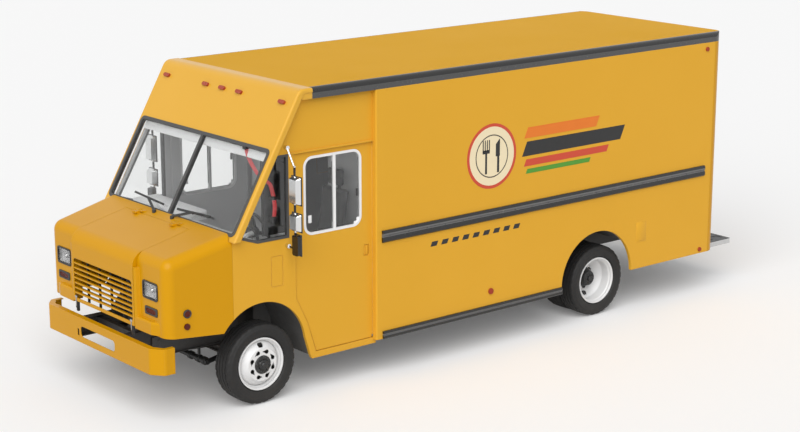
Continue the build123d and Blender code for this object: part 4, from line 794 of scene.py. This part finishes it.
def fit_under_nose():
    """Stabiliser bar with its arms, links and bushes, and the splash shields inside the wheel wells."""
    bar = tube((BAR_X, -0.560, BAR_Z), (BAR_X, 0.560, BAR_Z), 0.030, 28)
    shields = bmesh.new()
    for side, _ in SIDES:
        merge(bar, tube((0.275, side * 0.545, BAR_Z), (0.030, side * 0.545, 0.395), 0.026))
        merge(bar, tube((BAR_X, side * 0.395, 0.345), (BAR_X, side * 0.395, 0.592), 0.016))
        for y in (0.250, 0.395, 0.500):
            merge(bar, tube((BAR_X, side * y - 0.026, BAR_Z), (BAR_X, side * y + 0.026, BAR_Z), 0.043, 28))
        sided(shields, side, SHIELD_RUN, (0.446, 0.454), (0.500, 0.705), 0.003)
        sided(shields, side, SHIELD_RUN, (0.446, 0.484), (0.500, 0.507), 0.003)
        for x in (0.080, 0.420, 0.780):
            merge(shields, nut(0.022, 0.012), moved(x, side * 0.454, 0.665) @ across(side))
    piece("stabiliser_bar", bar, HUB_BLACK)
    piece("splash_shields", shields, LINER_BLACK)


# Cab fittings

def fit_mirrors():
    """Black rims and silvered glasses on the mirror heads."""
    # head: inner and outer reach, foot, top
    heads = ((1.250, 1.410, 2.062, 2.350), (1.250, 1.410, 1.788, 1.978), (1.296, 1.400, 1.5455, 1.7605))
    lap, border = 0.003, 0.010
    rims, glasses = bmesh.new(), bmesh.new()
    for side, _ in SIDES:
        for inner, outer, low, high in heads:
            sided(rims, side, (-0.3275, -0.314), (inner - lap, outer + lap), (low - lap, high + lap), 0.005, 3)
            sided(glasses, side, (-0.3285, -0.3255), (inner + border, outer - border),
                  (low + border, high - border), 0.001)
    piece("mirror_rims", rims, TRIM)
    piece("mirror_glasses", glasses, MIRROR_GLASS)


def fit_door_hardware():
    """Pull handle, closing strip, sash strips, gaskets and catch of each sliding door."""
    sash = (1.1335, 1.1375)
    # block: x range, y range, z range, rounding
    pull_blocks = (
        ((-1.345, -1.330), (1.137, 1.157), (1.338, 1.442), 0.005),
        ((-1.372, -1.303), (1.1362, 1.1405), (1.334, 1.446), 0.002),
        ((-1.430, -1.4035), (1.104, 1.156), (0.460, 2.525), 0.003),
    )
    black_blocks = [(x, sash, z, 0.002) for x in ((-0.908, -0.561), (-1.247, -0.942))
                    for z in ((1.694, 1.703), (2.447, 2.456))]
    black_blocks += [((x - 0.004, x + 0.004), sash, (1.76, 2.39), 0.002)
                     for x in (-0.565, -0.905, -0.945, -1.243)]
    black_blocks += [
        ((-1.236, -1.214), (1.1335, 1.150), (1.985, 2.060), 0.004),
        ((-1.395, -0.440), (1.112, 1.1495), (2.5285, 2.533), 0.001),
    ]
    bright_blocks = (
        ((-0.640, -0.596), (1.1335, 1.143), (1.790, 1.872), 0.004),
        ((-1.243, -1.180), (1.1335, 1.146), (1.694, 1.722), 0.005),
        ((-1.243, -1.214), (1.1335, 1.146), (1.716, 1.760), 0.005),
    )
    kinds = (("pull", pull_blocks, CAB_DOOR, "paint"), ("gaskets", black_blocks, SEAL_RUBBER, "rubber"),
             ("sash", bright_blocks, BRIGHT_ALU, "alu"))
    for side, body in ((1, "driver_door"), (-1, "passenger_door")):
        for kind, blocks, finish_of, slot in kinds:
            whole = bmesh.new()
            for block in blocks:
                sided(whole, side, *block)
            piece(f"door_{kind}_{body}", whole, finish_of, body)


def fit_hood_latches():
    """Rubber pull-down latches at the lid's lower corners."""
    rubber, hooks = bmesh.new(), bmesh.new()
    for y in (-0.54, 0.54):
        boxed(rubber, (1.1135, y - 0.0165, 0.8095), (1.1385, y + 0.0165, 0.9195), 0.004)
        boxed(rubber, (1.1365, y - 0.012, 0.845), (1.1475, y + 0.012, 0.985), 0.004)
        boxed(hooks, (1.1395, y - 0.020, 0.955), (1.1505, y + 0.020, 0.978), 0.003)
        boxed(hooks, (1.1395, y - 0.007, 0.866), (1.1495, y + 0.007, 0.960), 0.003)
    piece("hood_latch_straps", rubber, TRIM, "hood")
    piece("hood_latch_hooks", hooks, STEEL, "hood")


def glass_x(z):
    """Where the windshield stands at a height."""
    return GLASS_FOOT_X + GLASS_SLOPE * (z - GLASS_FOOT_Z)


def fit_cab_interior():
    """Pale header, shelf on the dash, driver's post panel on two brackets, and gauge panel."""
    header = boxed(bmesh.new(), (-0.006, -1.145, 2.487), (0.006, 1.145, 2.592), 0.003)
    for vert in header.verts:
        vert.co.x += glass_x(vert.co.z) - 0.062
    piece("windshield_header", header, PALE_LINING)
    shelf = boxed(bmesh.new(), (-0.205, -1.075, 1.655), (0.110, -0.105, 1.757), 0.012, 3)
    boxed(shelf, (-0.190, -1.055, 1.750), (0.095, -0.125, 1.7615), 0.004)
    piece("dash_shelf", shelf, SHELF_GREY)
    post = boxed(bmesh.new(), (-0.435, 0.985, 1.700), (-0.125, 1.000, 2.530), 0.006)
    boxed(post, (-0.165, 0.992, 1.720), (-0.135, 1.018, 2.480), 0.006)
    for z in (1.775, 2.440):
        boxed(post, (-0.415, 0.990, z - 0.012), (-0.362, 1.121, z + 0.012), 0.004)
    piece("driver_post_panel", post, TRIM)
    gauges = boxed(bmesh.new(), (-0.052, 0.47, 1.585), (-0.030, 0.77, 1.675), 0.008)
    for y in (0.545, 0.695):
        merge(gauges, ring_form(0.030, 0.037, 0.008), moved(-0.051, y, 1.63) @ FACING_BACK)
    piece("gauge_panel", gauges, TRIM)


def ribbon(points, width, thick, along):
    """A flat strap swept through points, width set along a direction, as a closed form."""
    bm = bmesh.new()
    loops = []
    wide = Vector(along).normalized() * width / 2
    for index, point in enumerate(points):
        ahead = Vector(points[min(index + 1, len(points) - 1)]) - Vector(points[max(index - 1, 0)])
        deep = ahead.cross(wide).normalized() * thick / 2
        corners = ((1, 1), (-1, 1), (-1, -1), (1, -1))
        row = [bm.verts.new(Vector(point) + wide * a + deep * b) for a, b in corners]
        loops.append([bm.edges.new((row[k], row[(k + 1) % 4])) for k in range(4)])
    for first, second in zip(loops, loops[1:]):
        bmesh.ops.bridge_loops(bm, edges=first + second)
    bmesh.ops.holes_fill(bm, edges=loops[0] + loops[-1], sides=4)
    bmesh.ops.recalc_face_normals(bm, faces=bm.faces)
    return bm


def curve_points(knots, count):
    """Points along a smooth line through knots, evenly stepped between each two."""
    found = []
    ends = [knots[0]] + list(knots) + [knots[-1]]
    for index in range(1, len(ends) - 2):
        p0, p1, p2, p3 = (Vector(ends[index + k]) for k in (-1, 0, 1, 2))
        for step in range(count):
            t = step / count
            bend = (2 * p0 - 5 * p1 + 4 * p2 - p3) * t * t + (3 * p1 - p0 - 3 * p2 + p3) * t ** 3
            found.append(0.5 * (2 * p1 + (p2 - p0) * t + bend))
    return found + [Vector(knots[-1])]


def on_glass(across_by, up, out):
    """A point given in the windshield's plane: across, up its slope, and out from it."""
    run = math.hypot(1, GLASS_SLOPE)
    foot = Vector((GLASS_FOOT_X, across_by, GLASS_FOOT_Z))
    return foot + Vector((GLASS_SLOPE, 0, 1)) * (up / run) + Vector((1, 0, -GLASS_SLOPE)) * (out / run)


def fit_wipers():
    """Flat arms and ribbed blades over the parked wipers' rods."""
    black = bmesh.new()
    up_glass = (GLASS_SLOPE, 0, 1)
    spine_out = Vector((0.016, 0, 0.009))
    for side, _ in SIDES:
        pivot = Vector((0.405, side * 0.170, 1.838))
        knee = on_glass(side * 0.420, 0.112, 0.026)
        along = (knee - pivot).cross(Vector((1, 0, -GLASS_SLOPE)))
        merge(black, ribbon([pivot, pivot.lerp(knee, 0.3), pivot.lerp(knee, 0.65), knee], 0.024, 0.012, along))
        inner, outer = on_glass(side * 0.135, 0.097, 0.012), on_glass(side * 0.705, 0.127, 0.012)
        blade = [inner.lerp(outer, step / 8) for step in range(9)]
        merge(black, ribbon(blade, 0.022, 0.018, up_glass))
        spine = [inner.lerp(outer, 0.2 + step / 10) + spine_out for step in range(7)]
        merge(black, ribbon(spine, 0.012, 0.010, up_glass))
        merge(black, drum_form(0.021, 0.034, 20, 0.006), moved(0.405, side * 0.170, 1.811))
    piece("wiper_blades", black, TRIM)


def fit_belts():
    """The driver's red shoulder strap, from the header past the pillar to its reel."""
    knots = ((-0.125, 0.755, 2.575), (-0.115, 0.80, 2.50), (-0.112, 0.88, 2.41), (-0.135, 0.96, 2.32),
             (-0.185, 1.05, 2.25), (-0.212, 1.06, 2.17), (-0.236, 1.06, 2.06), (-0.240, 1.06, 1.98),
             (-0.226, 1.06, 1.88))
    strap = ribbon(curve_points(knots, 6), 0.040, 0.004, (0.80, -0.50, -0.15))
    piece("driver_strap", strap, WEBBING)
    ends = boxed(bmesh.new(), (-0.262, 0.998, 1.842), (-0.190, 1.082, 1.905), 0.008)
    boxed(ends, (-0.160, 0.728, 2.560), (-0.092, 0.782, 2.592), 0.006)
    boxed(ends, (-0.268, 0.998, 2.075), (-0.206, 1.078, 2.115), 0.006)
    piece("driver_strap_ends", ends, TRIM)


# Seat
CLOTH_CELL = 0.006
CLOTH_PRESSURE = 4
CLOTH_FRAMES = 20


def as_shown(form):
    """The mesh of an object with its modifiers done."""
    return bpy.data.meshes.new_from_object(form.evaluated_get(bpy.context.evaluated_depsgraph_get()))


def filled(bm, cap):
    """A form blown up like a cushion: even cloth, pressed out from within, with its movement capped."""
    mesh = bpy.data.meshes.new("scratch_pad")
    bm.to_mesh(mesh)
    bm.free()
    form = bpy.data.objects.new("scratch_pad", mesh)
    scene = bpy.context.scene
    scene.collection.objects.link(form)
    even = form.modifiers.new("even", "REMESH")
    even.mode = "VOXEL"
    even.voxel_size = CLOTH_CELL
    form.data = as_shown(form)
    form.modifiers.clear()
    rest = [vert.co.copy() for vert in form.data.vertices]
    cloth = form.modifiers.new("filling", "CLOTH")
    cloth.settings.use_pressure = True
    cloth.settings.uniform_pressure_force = CLOTH_PRESSURE
    cloth.settings.effector_weights.gravity = 0
    for number in range(1, CLOTH_FRAMES + 1):
        scene.frame_set(number)
    blown = as_shown(form)
    form.modifiers.clear()
    for vert, start in zip(blown.vertices, rest):
        move = vert.co - start
        if move.length > cap:
            vert.co = start + move * (cap / move.length)
    scene.frame_set(1)
    bpy.data.objects.remove(form)
    grown = bmesh.new()
    grown.from_mesh(blown)
    return grown


def fit_seat():
    """Pedestal with slide rails and head rest stays, and the three padded cushions, for the plain seat."""
    base = boxed(bmesh.new(), (-1.18, 0.480, 0.941), (-0.86, 0.760, 1.205), 0.012, 3)
    boxed(base, (-1.21, 0.440, 1.190), (-0.80, 0.800, 1.228), 0.006)
    for y in (0.50, 0.74):
        boxed(base, (-1.20, y - 0.018, 0.941), (-0.80, y + 0.018, 0.962), 0.004)
    for y0, y1 in ((0.560, 0.580), (0.660, 0.680)):
        boxed(base, (-1.372, y0, 1.950), (-1.340, y1, 2.020), 0.004)
    frame_piece = piece("seat_pedestal", base, TRIM)
    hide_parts("driver_seat")
    cushion = boxed(bmesh.new(), (-1.215, 0.405, 1.245), (-0.775, 0.835, 1.355), 0.035, 4)
    back = boxed(bmesh.new(), (-0.036, -0.205, 0.02), (0.036, 0.205, 0.63), 0.03, 4)
    lean = moved(-1.255, 0.62, 1.35) @ rotated(-8.5, "Y")
    bmesh.ops.transform(back, matrix=lean, verts=back.verts)
    rest = boxed(bmesh.new(), (-1.385, 0.510, 1.992), (-1.310, 0.730, 2.168), 0.025, 4)
    pads = (("seat_cushion", cushion, 0.014), ("seat_back", back, 0.012), ("head_rest", rest, 0.008))
    for name, form, cap in pads:
        made = piece(name, filled(form, cap), FABRIC, smooth=60)
        soft = made.modifiers.new("smooth", "SUBSURF")
        soft.levels = 1
        soft.render_levels = 1


# Body side
WALL_FACE = BODY_HALF + 0.0002
DESIGN_X = -3.02
DESIGN_Z = 2.17
RIBBON_LEAN = 0.45


def slanted(bm, x0, x1, z0, z1):
    """A thin plate on the left wall whose ends lean back by a share of its height."""
    part = boxed(bmesh.new(), (x0, WALL_FACE, z0), (x1, BODY_HALF + 0.0014, z1))
    for vert in part.verts:
        vert.co.x -= RIBBON_LEAN * (vert.co.z - z0)
    return merge(bm, part)


def wall_disc(radius, depth):
    """A round plate on the left wall, about the middle of the design."""
    return merge(bmesh.new(), drum_form(radius, depth, 96), moved(DESIGN_X, WALL_FACE, DESIGN_Z) @ across(1))


def fit_side_design():
    """A plate with fork and knife, and slanted ribbons trailing behind it, on the left wall."""
    x, z = DESIGN_X, DESIGN_Z
    piece("design_plate_rim", wall_disc(0.36, 0.0012), INK_RED)
    piece("design_plate", wall_disc(0.325, 0.0018), INK_CREAM)
    band_line = turned([(0.226, 0.0), (0.226, 0.0023), (0.238, 0.0023), (0.238, 0.0), (0.226, 0.0)], 96)
    tools = merge(bmesh.new(), band_line, moved(x, WALL_FACE, z))
    top = WALL_FACE + 0.0026
    for tine in (-0.045, -0.015, 0.015, 0.045):
        middle = x + 0.085 + tine
        boxed(tools, (middle - 0.007, WALL_FACE, z + 0.06), (middle + 0.007, top, z + 0.185))
    boxed(tools, (x + 0.033, WALL_FACE, z + 0.035), (x + 0.137, top, z + 0.075))
    boxed(tools, (x + 0.071, WALL_FACE, z - 0.19), (x + 0.099, top, z + 0.04))
    blade = boxed(bmesh.new(), (x - 0.115, WALL_FACE, z - 0.01), (x - 0.055, top, z + 0.185))
    for vert in blade.verts:
        if vert.co.z > z + 0.1 and vert.co.x > x - 0.08:
            vert.co.z -= 0.06
    merge(tools, blade)
    boxed(tools, (x - 0.108, WALL_FACE, z - 0.19), (x - 0.076, top, z - 0.005))
    piece("design_fork_and_knife", tools, INK_BLACK)
    # ribbon: finish, name, front, rear, foot, top
    ribbons = (
        (INK_ORANGE, "upper", -3.50, -4.62, 2.300, 2.420),
        (INK_BLACK, "middle", -3.47, -5.02, 2.100, 2.262),
        (INK_RED, "lower", -3.50, -4.80, 1.985, 2.062),
        (INK_GREEN, "foot", -3.53, -4.52, 1.900, 1.952),
    )
    for finish_of, name, front, rear, low, high in ribbons:
        piece(f"design_ribbon_{name}", slanted(bmesh.new(), rear, front, low, high), finish_of)
    dashes = bmesh.new()
    for index in range(9):
        start = -2.15 - 0.15 * index
        slanted(dashes, start - 0.085, start, 1.300, 1.352)
    piece("design_dashes", dashes, INK_BLACK)


def fit_fasteners():
    """Rivets under the roof rails and screws along the rub rails."""
    rivets, screws = bmesh.new(), bmesh.new()
    for side, _ in SIDES:
        for index in range(25):
            spot = moved(-1.55 - 0.213 * index, side * BODY_HALF, 3.066)
            merge(rivets, drum_form(0.006, 0.003, 10, 0.0012), spot @ across(side))
        for index in range(20):
            spot = moved(-1.58 - 0.255 * index, side * (BODY_HALF + 0.0158), 1.5215)
            merge(screws, drum_form(0.005, 0.002, 10, 0.0008), spot @ across(side))
    piece("roof_rail_rivets", rivets, PAINT)
    piece("rub_rail_screws", screws, RAIL_BLACK)


def fit_side_flap():
    """A small flush flap with its finger catch behind the rear wheel."""
    flap = boxed(bmesh.new(), (-5.508, BODY_HALF - 0.002, 0.809), (-5.339, BODY_HALF + 0.002, 1.052), 0.0015)
    boxed(flap, (-5.450, BODY_HALF + 0.001, 0.826), (-5.398, BODY_HALF + 0.005, 0.840), 0.0015)
    piece("side_flap", flap, PAINT)


def fit_hatch_trim():
    """Bright edging and two paddle latches on the serving hatch."""
    trim, latches = bmesh.new(), bmesh.new()
    front, rear, low, high = -2.450, -4.650, 1.640, 2.620
    wall = -BODY_HALF
    edge, inset = 0.024, 0.004
    strips = ((rear, front, low, low + edge), (rear, front, high - edge, high), (rear, rear + edge, low, high),
              (front - edge, front, low, high))
    for x0, x1, z0, z1 in strips:
        boxed(trim, (x0 + inset, wall - 0.004, z0 + inset), (x1 - inset, wall + 0.001, z1 - inset), 0.0015)
    for x in (-3.05, -4.05):
        boxed(latches, (x - 0.060, wall - 0.007, low + 0.045), (x + 0.060, wall + 0.001, low + 0.125), 0.003)
        boxed(latches, (x - 0.046, wall - 0.013, low + 0.057), (x + 0.046, wall - 0.005, low + 0.092), 0.003)
    piece("hatch_trim", trim, BRIGHT_ALU, "hatch")
    piece("hatch_latches", latches, STEEL, "hatch")


def fit_rear_hardware():
    """Lever handles on the rear doors' lock bars."""
    # block: depth range behind the box, y range, z range, rounding
    blocks = (
        ((-0.0345, -0.0225), (0.078, 0.265), (1.498, 1.526), 0.004),
        ((-0.034, -0.004), (0.068, 0.112), (1.488, 1.536), 0.006),
        ((-0.024, 0.001), (0.205, 0.255), (1.484, 1.540), 0.005),
    )
    for side, name in SIDES:
        lever = bmesh.new()
        for x, y, z, round_by in blocks:
            sided(lever, side, (BOX_REAR + x[0], BOX_REAR + x[1]), y, z, round_by, 3)
        piece(f"rear_door_lever_{name}", lever, STEEL, f"rear_door_{name}")


finish_nodes()
fit_tyres()
fit_hubs()
fit_lamp_bowls()
fit_lamp_rims()
fit_under_nose()
fit_mirrors()
fit_door_hardware()
fit_hood_latches()
fit_cab_interior()
fit_wipers()
fit_belts()
fit_seat()
fit_side_design()
fit_fasteners()
fit_side_flap()
fit_hatch_trim()
fit_rear_hardware()
set_up_light()
lay_floor()
set_up_view()
